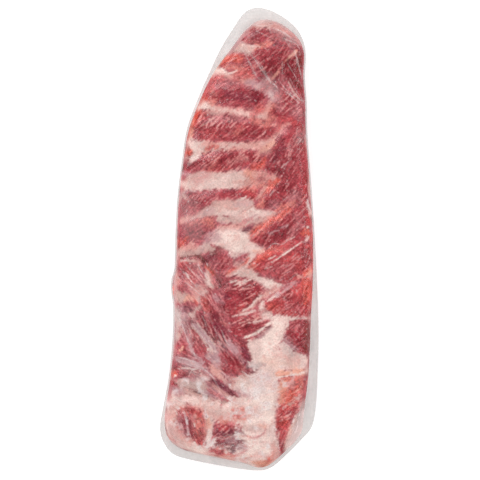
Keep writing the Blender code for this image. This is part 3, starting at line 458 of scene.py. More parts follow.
    ("mauve", 1.6, 1, 1, (-37,-67,1.6, -20,-86,1.6)),
    ("beige", 1.8, 0.8, 0.9, (-23,-74,1.2, -18,-80,2, -15,-84,1.4)),
    ("crimson", 1.4, 1.2, 1, (-41,-67,0.8, -38,-73,2.4, -28,-87,3)),
    ("crimson", 1.8, 1.4, 0.8, (-38,-78,1.6, -36,-86,2.6, -34,-94,2)),
    ("rose", 2, 1.2, 0.8, (-46,-70,2, -44,-78,2.4, -41,-88,2.4)),
    ("crimson", 1.4, 1, 0.8, (-50,-83,1, -45,-82,1.8, -44,-88,2)),
    ("peach", 1, 0.6, 0.8, (-48,-88,0.5, -46,-84.5,0.8)),
    ("beige", 1.4, 0.8, 0.8, (-50,-78,0.8, -46,-70,0.6)),
    ("mauve", 2, 1, 0.95, (-25,-91,2, -21,-90,3.6, -20,-96,3)),
    ("pink", 1.6, 0.8, 0.8, (-22,-100,2, -17,-101,1.8, -20,-106,1.4)),
    ("rose", 1.8, 1, 0.8, (-18,-92,1.6, -16,-98,2)),
    ("mauve", 2, 1, 0.9, (-50,-95,1.4, -42,-96,2, -34,-98,1.6)),
    ("purple", 1.4, 1.4, 0.8, (-49,-98.5,1, -43,-100,1.6, -36,-100,1)),
    ("dark", 0.9, 0.6, 0.8, (-44,-93,0.8, -42,-93.5,0.9)),
    ("crimson", 1.6, 1.6, 1, (-50,-102,1.6, -44,-105,2.8, -37,-104,2.6, -30,-105,1.6)),
    ("purple", 1.4, 1.4, 0.8, (-46,-107,1.4, -34,-105,2)),
    ("orange", 1.2, 0.6, 1, (-55,-106,1.6, -52,-106,1.8)),
    ("bright", 0.8, 0.4, 0.9, (-54,-107.5,0.5, -52,-107.5,0.8)),
    # Grey-pink band with dark gaps, and painted shade in them
    ("mauve", 2.6, 1, 0.95, (-45,-110,1.4, -38,-114,4, -28,-119,4, -14,-125,2.4)),
    ("grey", 2.4, 1, 0.7, (-44,-113,1.6, -36,-112,2, -30,-110,2)),
    ("beige", 2.4, 1, 0.8, (-36,-115,2, -30,-114,2)),
    ("pink", 2.4, 1, 0.9, (-52,-119,1.4, -46,-119,1.6, -38,-121.5,1)),
    ("purple", 2, 1, 1, (-25,-112,1.6, -20,-113,2.4, -14,-117,2.4, -8,-121,2.4, -3,-123,1.8)),
    ("crimson", 1.6, 1, 0.8, (-9,-121,1.4, -4,-123,1.6)),
    ("crimson", 1.2, 0.9, 0.9, (-27,-118,0.6, -20,-122.5,1.1, -13,-126.5,1, -8,-128,0.5)),
    ("mauve", 1.8, 0.8, 0.7, (0,-121,1.6, 8,-125,0.9)),
    ("mauve", 1.6, 0.8, 0.5, (-4,-117,0.9, 0,-118,0.8)),
    ("shade", 1.2, 0.6, 0.6, (-20,-127.5,0.6, -16,-128.8,0.9, -12,-129,0.5)),
    # Broad end
    ("cream", 3, 1.2, 1, (-52,-130,8, -50,-150,10, -40,-160,9, -20,-170,9, 0,-174,9, 18,-176,9)),
    ("pink", 3, 1.6, 0.6, (-30,-168,2, -16,-172,3, -2,-175,3, 6,-178,2)),
    ("cream", 2.4, 1.4, 1, (-19,-129,2.6, -19,-140,2.6)),
    ("cream", 2.4, 1, 1, (-54,-124,3.6, -44,-126,3.4, -32,-130,3.4, -22,-133,3)),
    ("pink", 2.4, 1.2, 0.8, (-57,-126,1.6, -56,-140,3, -55,-152,3, -51,-160,3)),
    ("beige", 2.4, 1, 0.7, (-56,-133,1.6, -55,-146,2, -52,-158,2)),
    ("peach", 2.4, 1, 0.5, (-59,-156,1.6, -56,-157,1.6)),
    ("cream", 2.4, 1.2, 0.9, (-24,-138,4, -25,-150,3, -26,-164,3.6, -40,-164,3, -48,-160,2)),
    ("pink", 2.4, 1.2, 0.7, (-27,-137,2, -22,-138,2)),
    ("mauve", 1.6, 1, 0.6, (-54,-121.5,1.2, -52,-122.5,1)),
    ("peach", 2, 1.2, 0.7, (-26,-142,1.6, -25,-148,1.6)),
    ("grey", 1.6, 0.8, 0.7, (-26,-152,0.8, -24,-163,1)),
    ("red", 1.6, 1.4, 0.95, (-51,-136.5,1.4, -46,-135,2.4, -40,-134.5,2.6, -34,-138,3,
        -33,-146,3.4)),
    ("crimson", 1.6, 1.4, 1, (-46,-138,4.6, -45,-146,6.4, -42,-152,6, -34,-156,6.4)),
    ("salmon", 2.4, 1.4, 0.8, (-36,-139,2, -34,-144,2.6, -35,-148,2)),
    ("dark", 1.8, 1.2, 0.6, (-43,-134,1.6, -39,-135,1.8, -40,-142,1, -39,-148,0.8)),
    ("rose", 2, 1.4, 0.7, (-50,-140,1.6, -50,-148,2.4, -47,-154,2)),
    ("purple", 2, 1.4, 0.7, (-47,-143,1.8, -46,-149,2.4, -44,-154,2)),
    ("mauve", 1, 0.8, 0.9, (-45.5,-136,0.5, -43.5,-141,0.8, -42.5,-147,0.9, -42,-155,0.9)),
    ("bright", 0.9, 0.9, 0.8, (-37,-146,0.7, -36.5,-149,0.8)),
    ("dark", 2, 1.4, 0.6, (-38,-153,1.8, -36,-156,2.4, -30,-156,2)),
    ("red", 1.6, 1, 0.9, (-36,-161.5,1.4, -33,-162.5,1.8, -30,-163,1.2)),
    ("orange", 1.4, 0.9, 0.8, (-31,-164,0.9, -29.5,-166.5,1.2)),
    ("crimson", 1.6, 1, 0.7, (-30,-158,1.6, -28.5,-162,1.4)),
    ("red", 0.9, 0.4, 0.85, (-56,-159.5,0.5, -54,-160,0.9, -51,-163.5,0.6, -48,-166,0.9,
        -45,-167,0.5)),
    ("salmon", 2, 1.4, 1, (-15,-141,1.2, -14.5,-145,3, -10,-146,3.4, -6,-146.5,2.4)),
    ("pink", 2.4, 1.4, 0.8, (-11,-139,2.4, -7,-142,2.4, -5,-144,1.8)),
    ("salmon", 2.4, 1.6, 0.9, (-4,-135,2, 2,-135,2.4, 3,-140,2.6, -2,-141,2.4)),
    ("red", 2, 1.6, 0.5, (-6,-139.5,1, -2,-140,1.4)),
    ("crimson", 1.4, 1.4, 1, (-17,-150,2.4, -12,-149,2.8, -6,-148.5,2.4, -2,-147.2,0.9)),
    ("crimson", 1.4, 1.2, 1, (-21,-154,1.8, -14,-153,2.6, -7,-151.5,2.4)),
    ("purple", 1.2, 1.2, 0.8, (-20,-152,1.4, -17,-154.5,1.6, -8,-152,1.4)),
    ("purple", 1, 0.8, 0.9, (-17,-157.5,0.8, -11,-156,1, -6,-154.4,0.7)),
    ("red", 1.4, 1, 0.6, (-15,-147.5,1.4, -12,-150,1.6)),
    ("crimson", 1.2, 0.9, 0.9, (-24.5,-162,0.6, -22.5,-157,0.9, -20.5,-152,0.9)),
    ("crimson", 1, 0.8, 0.9, (-19,-160.4,0.9, -11,-159,1.2, -5,-156.6,0.8)),
    ("purple", 1.4, 1.2, 1, (-20,-163.6,1.4, -11,-162,2.6, -3,-160.5,2, 4,-160,1)),
    ("purple", 1.4, 1.2, 1, (-6,-164.5,2.6, -6,-169,2.2, -8,-170.6,1.2)),
    ("dark", 1.2, 1.2, 0.9, (-20,-165,1, -14,-165,1.4, -9,-166.5,1.6, -5,-166,1.2)),
    # Painted shade along a dark line
    ("shade", 1, 0.8, 0.6, (-18.5,-164.6,0.6, -15,-164.8,0.9, -10.5,-167,0.8)),
    ("beige", 0.6, 0.5, 0.8, (-21,-158.4,0.3, -14,-156.8,0.4, -7,-154.4,0.3)),
    ("beige", 0.6, 0.5, 0.7, (-16,-159.4,0.3, -8,-157.4,0.4, -2,-155.6,0.4)),
    ("mauve", 0.7, 0.6, 0.7, (-15,-161.6,0.3, -8,-160.2,0.4, 0,-158.2,0.4)),
    ("rose", 2, 1.2, 0.6, (-12,-162.5,1, -4,-162.5,1.4)),
    ("mauve", 2, 1.4, 0.95, (-2,-165,2, 3,-165,2.4, 2,-169,1.6)),
    ("purple", 1.2, 1.2, 0.5, (-2,-167,0.9, 2,-166.4,0.9)),
    ("grey", 1.4, 0.8, 0.6, (2,-162.5,1, 6,-161.4,1)),
    ("orange", 1.8, 1.2, 0.9, (-23,-168.5,1.4, -17,-168.5,2.4, -14,-170,1.6)),
    ("red", 1.4, 1.2, 0.9, (-19,-171.5,1.2, -14,-172,1.8, -9,-171,1)),
    ("cream", 1.2, 0.8, 0.9, (-13,-167.6,0.9, -12.6,-169.4,1)),
    ("pink", 1.4, 1.2, 0.95, (-8,-173,1.2, 0,-174,2.4, 6,-173,1.8)),
    ("salmon", 0.8, 0.6, 0.7, (-8,-174,0.4, -2,-172.5,0.6, 3,-170,0.4)),
    ("bright", 0.7, 0.6, 0.7, (-5,-174.6,0.4, 1,-173.4,0.5, 5,-171.6,0.4)),
    ("red", 1, 0.6, 0.8, (2,-177.2,0.6, 5,-176.8,0.5)),
    ("beige", 2.2, 1, 0.95, (-4,-149.6,0.9, 4,-149.6,1.8, 12,-150.5,2.8, 18,-149,2.4)),
    ("grey", 2, 0.8, 0.6, (8,-150,1.4, 14,-150,1.6)),
    ("peach", 1.6, 0.9, 0.7, (16,-147.5,1, 20,-148.5,1.2)),
    ("bright", 1.6, 0.6, 0.8, (-4,-153.2,1.2, 2,-153.4,1.4, 7,-154.4,0.9)),
    ("salmon", 0.8, 0.5, 0.85, (-1,-156.8,0.5, 4,-156,0.6, 8,-157.2,0.6)),
    ("rose", 1.2, 0.9, 0.9, (9,-157.6,0.9, 12,-157.6,1.4, 15,-156.6,0.8)),
    ("rose", 1, 0.8, 0.8, (16,-156,0.7, 18.4,-154,1.1, 20,-151,0.6)),
    ("beige", 2.4, 1, 0.7, (24,-144,1.6, 23,-152,2, 20,-158,1.6)),
    ("grey", 2, 0.8, 0.5, (12,-160.4,0.9, 20,-160.4,1.2)),
    ("peach", 2, 1.4, 1, (11,-178,1.2, 17,-178.5,2.6, 22,-179.5,2)),
    ("salmon", 1.6, 1.2, 0.85, (26.5,-170,0.9, 25,-173.5,1.4, 22,-177,1.4)),
    ("pink", 2.4, 1.2, 0.8, (26,-164,2, 28,-170,2.4, 28,-175,2)),
    # Trimmed strip of muscle down the lower right
    ("peach", 1.8, 0.9, 1, (31,-106,2.4, 42,-105.5,2.6, 52,-106,2.6)),
    ("orange", 2, 1.2, 0.9, (33,-112,2.4, 37,-112,2.8)),
    ("salmon", 1.8, 1.2, 1, (37,-113,5, 46,-113,5, 50,-113,3.6)),
    ("salmon", 2, 1.4, 0.95, (46,-113,5, 43,-121,9, 39,-130,9.6)),
    ("red", 3, 1.4, 0.5, (46,-116,4, 44,-122,6, 40,-132,7)),
    ("salmon", 2.4, 1.2, 0.8, (35,-118,2.4, 32,-136,2)),
    ("salmon", 2.4, 1.4, 0.5, (50,-116,1.8, 48,-124,1.8)),
    ("orange", 2.4, 1.4, 0.6, (38,-128,2.4, 46,-118,2)),
    ("red", 1.6, 1.4, 1, (36,-136,6, 34,-146,6, 34,-154,5, 34,-161,3.4, 33,-168,1.8, 33,-172,1)),
    ("crimson", 2, 1.4, 0.9, (44,-131,2.6, 41,-136,3, 38,-138,2)),
    ("dark", 1.6, 1.4, 0.5, (44,-133,1.6, 41,-137,1.8)),
    ("orange", 2, 1.4, 0.5, (33,-146,2, 36,-144,1.8)),
    ("crimson", 1.6, 1.4, 0.6, (30,-150,1.4, 34,-154,2.4, 36,-160,1.6)),
    ("beige", 1, 0.9, 0.8, (28,-151,0.6, 30.4,-153,0.8, 30,-158,0.8)),
    ("dusty", 1.4, 1, 0.8, (33,-160.5,1, 33.4,-165,1.2, 33,-171,1)),
    ("pink", 0.6, 0.5, 0.75, (31,-141.6,0.3, 36,-140.4,0.5, 40,-138.6,0.3)),
    ("pink", 0.6, 0.5, 0.65, (31,-144.4,0.3, 35,-143.2,0.5, 39,-142.4,0.3)),
    ("peach", 0.6, 0.5, 0.75, (38,-124,0.4, 45,-120,0.6, 52,-116,0.4)),
    ("peach", 0.6, 0.5, 0.65, (36,-130,0.4, 50,-122,0.4)),
    ("bright", 0.7, 0.5, 0.9, (30,-109.2,0.5, 38,-108,0.7, 46,-106.8,0.7, 54,-104.8,0.5)),
    ("pink", 0.7, 0.5, 0.7, (36,-116,0.4, 38,-121,0.5, 35,-130,0.4)),
    ("cream", 2, 0.6, 1, (50,-138,1.6, 47,-148,5, 42,-158,4.6, 39,-166,3)),
    ("beige", 2.4, 0.8, 0.95, (47,-140,1.6, 45,-148,3.4, 42,-158,3)),
    ("peach", 3, 1, 0.5, (42,-148,1.6, 41,-156,2, 38,-163,1.6)),
    ("grey", 2.4, 0.6, 0.8, (51,-130,1.6, 49,-140,2, 48,-148,2)),
    # Pale edge all along the right
    ("beige", 1.4, 0.7, 0.75, (54,84,0.4, 55,62,0.7, 56.5,48,1.2, 57,36,1)),
    ("cream", 1.2, 0.8, 0.8, (55,30,0.8, 56,26,1.4, 57.5,22,1)),
    ("grey", 1.6, 0.6, 0.8, (56,-61,0.8, 57,-70,1, 57,-84,1, 56.5,-98,0.8)),
    # Smaller places over all of these: pale flecks on the seams, deeper red in the thick muscles
    ("cream", 2, 1.2, 0.9, (12,-83,5, 13,-90,3.6)), ("bright", 4, 1.2, 0.8, (24,-124,5, 24,-136,4)),
    ("cream", 2.4, 1.2, 0.8, (29,-114,2.4, 30,-124,2)),
    ("peach", 2.4, 1.4, 0.8, (34,-114,2.4, 34,-120,2, 33,-128,1.4)),
    ("dark", 2.4, 1.2, 0.6, (54,-68,2.6, 54,-78,3.6, 54,-86,2.4)),
    ("mauve", 2.4, 1.4, 0.6, (-18,-117,2.4, -12,-121,2)),
    ("bright", 2.4, 1.2, 0.8, (-44,-164,2, -34,-167,2.4, -26,-170,1.6)),
    ("crimson", 2.6, 1.4, 0.8, (22,83,2.6, 28,88,3)), ("red", 3, 1.4, 0.7, (0,131,3, 8,136,4)),
    ("mauve", 2.4, 1.4, 0.7, (-19,-101,2, -14,-108,2)),
    ("beige", 2.4, 1.4, 0.8, (-14,45,1.6, -4,46,2.4, 6,47,2)),
    ("crimson", 2.4, 1.2, 0.7, (51,84,2.4, 52,68,2.6, 54,54,2.4)),
    ("beige", 2.4, 1.4, 0.7, (8,14,2.4, 18,16,2.4)),
    ("peach", 2.4, 1.4, 0.8, (19,72,1.6, 24,76,2.2, 28,79,1.4)),
    ("red", 2.4, 1.2, 0.8, (54,-50,2.4, 55,-58,2.4)),
    ("crimson", 2.6, 1.4, 0.6, (20,122,2.4, 26,127,2.8)),
    ("pink", 2.4, 1.4, 0.8, (-28,76,2, -18,76,2.2, -8,77,1.6)),
    ("crimson", 2.6, 1.4, 0.7, (40,80,3, 46,86,3.4, 48,92,2.6)),
    ("pink", 2.4, 1.4, 0.7, (-49,-150,2, -46,-157,2.4, -40,-160,1.6)),
    ("purple", 2.4, 1.4, 0.5, (-18,-82,2.4, -12,-87,2.4)),
    ("crimson", 2.6, 1.4, 0.6, (42,112,3, 48,118,2.6)), ("pink", 2.4, 1.4, 0.6, (0,44,2, 8,47,2)),
    ("pink", 2.4, 1.2, 0.7, (-54,-132,2, -54,-140,2)),
    ("bright", 2, 1.2, 0.6, (0,-174,2, 10,-172,2.4, 16,-176,2)),
    ("dark", 2.8, 1.4, 0.6, (42,132,3.4, 47,138,3)),
    ("beige", 2, 1, 0.6, (53,-100,1.6, 54,-106,1.6)),
    ("salmon", 2.2, 1.2, 0.6, (52,-112,1.6, 50,-122,1.8)),
    ("salmon", 2.6, 1.4, 0.5, (-36,-152,2, -32,-156,2.2)),
    ("bright", 2.4, 1.2, 0.6, (16,174,1.6, 26,173,1.6)),
    ("beige", 2.6, 1.4, 0.8, (-28,-4,2.4, -22,-7,2)),
    ("dusty", 2.6, 1.2, 0.5, (40,162,2.4, 46,160,2.4)),
    ("pink", 2.4, 1.2, 0.7, (-18,-173,1.6, -6,-176,1.6)),
    ("salmon", 2.4, 1.4, 0.6, (-48,-134,2, -42,-137,1.6)),
    ("dusty", 2.4, 1.4, 0.6, (-36,-62,2, -32,-68,2.4)),
    ("red", 2.6, 1.4, 0.7, (12,101,2.4, 18,106,2.4)),
    ("red", 2.6, 1.4, 0.7, (32,92,2.4, 37,97,2.4)),
    ("pink", 2.6, 1.4, 0.6, (-36,-13.6,1.6, -32,-17,2.2)),
    ("pink", 2.4, 1.4, 0.7, (-28,102,2, -22,106,2)), ("pink", 2.4, 1.2, 0.5, (-8,63,2, 4,66,2.4)),
    ("dusty", 2.4, 1.4, 0.6, (-38,24,3, -32,27,2.4)),
    ("cream", 2.4, 1.4, 0.7, (-30,45,2.6, -22,46,2.4)),
    ("mauve", 2.4, 1.4, 0.5, (-28,-104,2, -22,-107,2)),
    ("cream", 2.2, 1.2, 0.85, (-40,42.5,1.2, -28,43.5,1.8, -16,44.5,2, -4,44.8,2.2, 3,46.5,1.6)),
    ("cream", 2.4, 1.4, 0.7, (-33,73,2.4, -20,74.5,2, -8,76,1.6)),
    ("dusty", 2.6, 1.2, 0.75, (53,-110,2, 52,-118,2.6, 50,-126,2.4)),
    ("dusty", 2.6, 1.2, 0.4, (54,-102,2.2)),
    ("dark", 2.6, 1.2, 0.7, (53,-68,2.6, 52,-76,3.6, 53,-85,2.6)),
    ("crimson", 2.6, 1.2, 0.75, (54,-34,2.4, 53,-44,2.6, 54,-56,3.6)),
    ("crimson", 2.6, 1.4, 0.7, (54,72,2.2, 53,62,3.2, 55,50,2.4)),
    ("crimson", 3, 1.4, 0.6, (42,82,4, 47,88,3)), ("crimson", 3, 1.4, 0.6, (42,114,4, 47,118,3)),
    ("dark", 3, 1.4, 0.6, (40,132,4, 46,142,4)), ("dark", 3, 1.4, 0.4, (32,134,4)),
    ("crimson", 3, 1.4, 0.6, (22,122,3, 27,126,3)), ("crimson", 3, 1.4, 0.5, (24,84,3)),
    ("purple", 3, 1.8, 0.55, (-38,-66,2.4, -31,-76,4, -22,-84,4)),
    ("crimson", 2.4, 1.6, 0.7, (-38,-72,2.4, -36,-80,3)),
    ("dark", 2.4, 1.6, 0.6, (-17,-71,3, -14,-77,3)), ("crimson", 3, 1.4, 0.4, (-36,22,4, -34,28,3)),
    ("crimson", 3, 1.4, 0.5, (32,-54,3, 38,-56,3)), ("red", 3, 1.4, 0.5, (45,-124,3, 42,-132,3)),
    ("mauve", 2.6, 1.4, 0.5, (-9,-105,2.4, -4,-107,2.4)),
    ("mauve", 2.6, 1.4, 0.5, (-18,-104,2.4, -14,-109,2)),
    ("mauve", 2.6, 1.4, 0.45, (-17,-115,2.4, -12,-119,2)),
    ("cream", 2, 1.2, 0.8, (9,-84,2.6, 9,-89,1.6)),
    ("crimson", 2.4, 1.6, 0.8, (-35,-72,3, -28,-86,3)),
    ("dark", 2, 1.6, 0.7, (-20,-66,3.4, -16,-74,4, -12,-80,3)),
    ("purple", 2, 1.4, 0.6, (-22,-68,2, -18,-76,2.4)),
    ("mauve", 1.4, 1, 0.9, (-37,-67,1.2, -31,-72.5,1.8, -25,-80,1.8, -20,-86,1.2)),
    ("mauve", 1.4, 1, 0.8, (-46,-60,1, -43,-70,1.2, -40,-80,1, -37,-90,1.2, -30,-97,1.4)),
    ("mauve", 1.6, 1.2, 0.7, (-9,-82,2, -4,-86,2.2)),
    ("cream", 1.8, 1.2, 0.8, (-24,-84,1.4, -21,-87,1.6, -20,-90,0.8)),
    ("mauve", 1.8, 1, 0.9, (-25,-91,2, -21,-93,3.2, -19,-98,2.4)),
    ("pink", 1.6, 1.2, 0.8, (-22,-104,1.2, -17,-108,1.6, -12,-110.5,1.4)),
    ("dark", 2, 1.6, 0.6, (-10,-92,2.4, -4,-96,3, 0,-101,2.4)),
    ("purple", 1.6, 1.4, 0.7, (2,-86,1.6, 6,-92,1.8, 5,-98,2, 9,-102,1.4)),
    ("crimson", 1.6, 1.4, 0.8, (-49,-103,1.4, -43,-104,2, -36,-103.5,2.2, -31,-105,1.4)),
    ("mauve", 2.4, 1.2, 0.8, (-50,-96,1.6, -42,-97,1.8, -34,-99,1.4)),
    ("beige", 2.4, 1.2, 0.9, (-48,-112,2, -38,-115,4, -30,-117,3)),
    ("beige", 2, 1.2, 0.95, (-52,-119.5,1.6, -44,-120.5,2, -36,-123.5,2, -21,-130,2)),
    ("cream", 2, 1.2, 0.8, (-46,-124,2, -34,-127,2, -24,-132,2)),
    ("purple", 1.8, 1.4, 0.7, (-24,-112,1.6, -19,-113,2, -13,-117,2, -6,-121,2.2)),
    ("mauve", 2, 1.2, 0.7, (-6,-117,1.4, 0,-121,2, 6,-124,1.4)),
    ("rose", 1.2, 0.9, 0.8, (-26,-118,0.6, -19,-122,1, -12,-126.5,0.9)),
    ("beige", 2.6, 1, 0.8, (45,-144,2, 44,-152,3, 41,-160,2.6)),
    ("salmon", 2.4, 1.4, 0.6, (-36,-138,1.8, -34,-146,2.2)),
    ("rose", 2.6, 1.4, 0.6, (-49,-140,1.8, -48,-148,2.4, -45,-154,2)),
    ("orange", 2, 1.4, 0.7, (12,-179,1.6, 18,-180.5,2, 22,-178,1.2)),
    ("salmon", 2.2, 1.4, 0.7, (-22,-170,1.6, -14,-172,1.8, -6,-173,1.4)),
    ("bright", 1.4, 1, 0.7, (-4,-171,0.8, 4,-169,1.2, 12,-166,1.4)),
    ("bright", 2.6, 1.2, 0.6, (6,-132,2, 16,-130,3, 22,-140,3)),
    ("orange", 2.4, 1.4, 0.5, (-36,104,2, -30,112,2)),
    ("orange", 2.4, 1.4, 0.5, (-42,86,1.6, -38,96,2)),
    ("beige", 2, 1, 1, (-53,-113,1.4, -46,-117,1.8, -38,-120,1.8, -31,-123.5,1.8, -24,-127,1.4)),
    ("pink", 1.6, 1.2, 0.6, (-50,-116,0.8, -42,-119,0.8, -30,-124.5,0.8)),
    # Painted shade: dark spots in the grey-pink band
    ("shade", 0.9, 0.9, 0.95, (-37,-119.5,0.6, -34.5,-120.8,1, -32.5,-121.8,0.5)),
    ("shade", 0.9, 0.9, 0.9, (-29.5,-123,0.6, -27,-124.5,1.1)),
    ("crimson", 2, 1.4, 0.7, (-26,-60,1.6, -24,-68,2, -20,-76,2)),
    ("dark", 2, 1.6, 0.7, (-31,-62,1.2, -24,-75,1.2)),
    ("crimson", 2.4, 1.6, 0.8, (-39,-72,1.4, -33,-84,2.2)),
    ("purple", 1.4, 1.2, 0.9, (-14,-84,1.6, -12,-88,1.8, -13,-94,1)),
    ("mauve", 2, 1.4, 0.5, (-4,-90,1.6, 2,-96,1.6)),
    ("rose", 1.6, 1.4, 0.6, (-12,-100,1.6, -8,-104,1.8, 0,-104,1.6)),
    ("dark", 1.4, 1.4, 0.6, (-6,-98,1.6, 1,-103,2, 7,-105,1)),
    ("grey", 2, 1.2, 0.7, (8,-98,1, 13,-101,1.4, 18,-99,0.8)),
    ("pink", 3.4, 1.6, 0.6, (-53,-138,1.6, -53,-148,2, -48,-158,2, -38,-164,1.6)),
    ("salmon", 3, 1.8, 0.6, (-31,-134,1.6, -29,-144,1.8, -27,-154,1.6)),
    ("pink", 2.8, 1.6, 0.6, (-44,-132,1.4, -36,-132,1.8, -30,-134,1.4)),
    ("rose", 2.4, 1.6, 0.7, (-8,-145,2, -2,-148,1.8, 0,-151,1)),
    ("purple", 1.6, 1.4, 0.7, (-8,-153.4,1.6, -1,-152,1.2, 4,-155,0.8)),
    ("pink", 2.6, 1.6, 0.7, (-20,-140,1.4, -16,-142,2, -10,-141,1.8)),
    ("beige", 2.4, 1.4, 0.6, (-28,-132,2.4, -22,-136,2.6, -18,-134,2)),
    ("dark", 1.6, 1.4, 0.8, (-20,-162.5,1, -13,-162,2, -6,-163,2, 0,-162,1)),
    ("crimson", 2, 1.4, 0.7, (-18,-158,1, -10,-157.4,1.2, -4,-156.5,0.8)),
    # Whiter places in the fat, partly painted highlights of the film
    ("bright", 3, 1.6, 0.7, (4,-128,2, 12,-127,3, 22,-128,2.4)),
    ("bright", 2.4, 1.6, 0.7, (8,-145,1.4, 16,-142,2.4, 24,-146,1.8)),
    ("bright", 2.4, 1.6, 0.8, (6,-163,1.4, 14,-166,2.6, 20,-168,2.4)),
    ("bright", 2, 1.4, 0.7, (0,-157.5,0.9, 10,-160,1.2, 22,-158,1.6)),
    ("pink", 2.4, 1.6, 0.6, (10,-173,2, 16,-173,2)), ("pink", 3, 1.8, 0.4, (6,-136,1.6, 12,-134,2)),
    ("orange", 3, 1.6, 0.55, (36,-124,3, 42,-126,4, 38,-132,3)),
    ("red", 2.4, 1.6, 0.5, (32,-140,1.8, 34,-150,2, 33,-158,1.6)),
    ("grey", 2.4, 1.2, 0.6, (50,-132,1.4, 48,-142,2, 44,-154,2)),
    # Painted shadow of a fold in the film, along the right edge
    ("shade", 1.6, 1.4, 0.35, (51,-128,0.5, 49,-137,0.8, 46.5,-147,0.5)),
    ("cream", 2.6, 1.4, 0.6, (-58,-130,1, -59,-140,1.4, -59,-150,1.2)),
    ("rose", 1.6, 1.2, 0.35, (-57,-134,0.5, -57,-146,0.7, -54,-158,0.5)),
    # Painted shade at the left edge
    ("shade", 0.9, 0.7, 0.5, (-61,-145,0.4, -60,-154,0.3)),
    ("cream", 2.4, 1.2, 0.7, (-28,-40,2, -32,-46,2.4)),
    ("pink", 2.4, 1.2, 0.6, (-34,-40,2.4, -38,-46,2)),
    ("salmon", 2.6, 1.6, 0.5, (-24,-28,1.6, -20,-32,2)),
    ("pink", 2.6, 1.4, 0.45, (0,-100,2, 4,-108,2.4)),
    ("salmon", 2.6, 1.6, 0.5, (-2,86,2.4, 4,92,2.6)),
    ("pink", 2.6, 1.6, 0.5, (16,70,2.4, 24,72,2.4)),
    ("salmon", 2.4, 1.6, 0.5, (-24,58,2, -18,64,2.4)),
    ("crimson", 2.6, 1.8, 0.5, (16,50,2.4, 24,52,2.4)),
    ("crimson", 2.6, 1.8, 0.5, (36,80,2.6, 42,84,2.4)),
    ("crimson", 2.6, 1.8, 0.5, (37,108,2.4, 42,114,2.4)),
    ("rose", 2.8, 1.8, 0.5, (-34,48,2.4, -26,52,2.6)),
    ("beige", 2.8, 1.8, 0.5, (-4,0,2.4, 4,0,2.6)),
    ("beige", 2.6, 1.6, 0.5, (-4,-18,2.2, 4,-22,2.4)),
    ("cream", 2.6, 1.6, 0.5, (-4,-117,2.4, -12,-112,2)),
    ("crimson", 1.8, 1.4, 0.9, (-57,-111,1.2, -54,-114,2, -51,-116.5,1.2)),
    ("dark", 1.4, 1, 0.7, (-54,-112.5,0.8, -51,-114,1)),
    ("rose", 1.8, 1.4, 0.8, (-60,-118,1.4, -57,-122,1.6, -58,-128,1.2)),
    ("mauve", 2.4, 1.4, 0.6, (-52,-119,1.6, -48,-122,1.4)),
    ("rose", 2.4, 1.4, 0.45, (-60,-130,1.4, -60,-142,1.6)),
    ("salmon", 2.4, 1.6, 0.6, (2,-178,1.4, 8,-177,1.4)),
    ("bright", 1.2, 0.9, 0.8, (0,-174,0.6, 6,-172.5,0.7, 10,-170,0.6)),
    ("salmon", 1.2, 0.9, 0.8, (0,-176,0.5, 6,-174.6,0.6, 11,-172.4,0.5)),
    ("rose", 1.2, 0.9, 0.8, (-6,-172,0.6, 0,-170.5,0.6, 5,-168,0.5)),
    ("bright", 1.6, 1.2, 0.7, (-22,-166,1, -26,-160,1.2, -25,-152,0.9)),
    ("pink", 2.6, 1.6, 0.5, (-14,-166,1.6, -18,-168,1.6)),
    ("orange", 2, 1.6, 0.6, (13,-180,1.4, 19,-180,2, 23,-177.5,1.2)),
    ("beige", 1.8, 1.2, 0.7, (35,-134,0.6, 42,-129,0.6, 48,-124,0.5)),
    ("crimson", 1.6, 1.4, 0.6, (12,-58,1.2, 20,-56,1.2)),
    ("beige", 2.4, 1.2, 0.95, (-15,18,2, -8,16.5,2.2, 0,15.5,2.6, 7,13.5,2.6)),
    ("pink", 2.4, 1.4, 0.7, (-8,12,1.6, -2,11,1.8, 3,14,1.6)),
    ("purple", 1.4, 1.2, 0.9, (3.5,8,1.4, 7.5,10,1.8, 11,13,0.8)),
    ("rose", 1.4, 1.2, 0.7, (-2,12.5,0.8, 4,15.5,0.9, 10,18,0.6)),
    ("crimson", 1.4, 1.2, 0.95, (10,0.6,0.8, 15,1.6,2.2, 21,4,3)),
    ("orange", 1.8, 1.4, 0.7, (9,4,0.8, 15,8,1.4, 20,12.5,1.2)),
    ("crimson", 2.6, 1.8, 0.5, (-46,-20,2.6, -38,-26,4.4, -45,-32,3)),
    ("rose", 2.4, 1.8, 0.6, (-36,-22,2.4, -33,-30,2.6, -42,-36,2)),
    ("salmon", 1.8, 1.4, 0.8, (-21.5,-25,1, -18,-36,1.4)),
    ("orange", 1.4, 0.9, 0.95, (-53.5,-37,1, -53.5,-42,1.4)),
    ("red", 2, 1.6, 0.8, (-29,-44,1.4, -28,-50,2, -26,-56,1.4)),
    ("orange", 2.6, 1.8, 0.6, (54,-33,2, 53,-42,3, 53,-50,2)),
    ("red", 2.6, 1.8, 0.6, (-25,122,2.4, -20,127,2.4, -14,130,2)),
    ("orange", 2, 1.6, 0.7, (-37,97,1.4, -34.5,102,1.8, -30,104,1.4)),
    ("red", 2, 1.6, 0.8, (-35,92,1.6, -32,99,2.2, -27,102,1.4)),
    ("cream", 1.6, 1.2, 0.9, (-33,109.5,1.4, -27,108,1.6, -20,106.5,1.2)),
    ("crimson", 1.2, 1.2, 0.95, (-30,84,1.2, -20,82.4,1.6, -8,81.6,1.8, 4,81.8,1.6, 15,83,1.2)),
    ("red", 2.6, 1.8, 0.5, (-30,88,2, -20,86,2)),
    ("crimson", 2.6, 1.4, 0.6, (2,92,2.2, 12,90,3, 22,88,2.4)),
    ("salmon", 1.4, 1.4, 0.95, (-25.5,74,1.4, -21,76,1.8, -17,75.4,1.2)),
    ("red", 1.2, 1, 0.7, (-24,74.4,0.8, -21,75.6,0.9)),
    ("orange", 1.6, 1.2, 0.85, (-42,69.4,1.4, -39,71.6,1.6)),
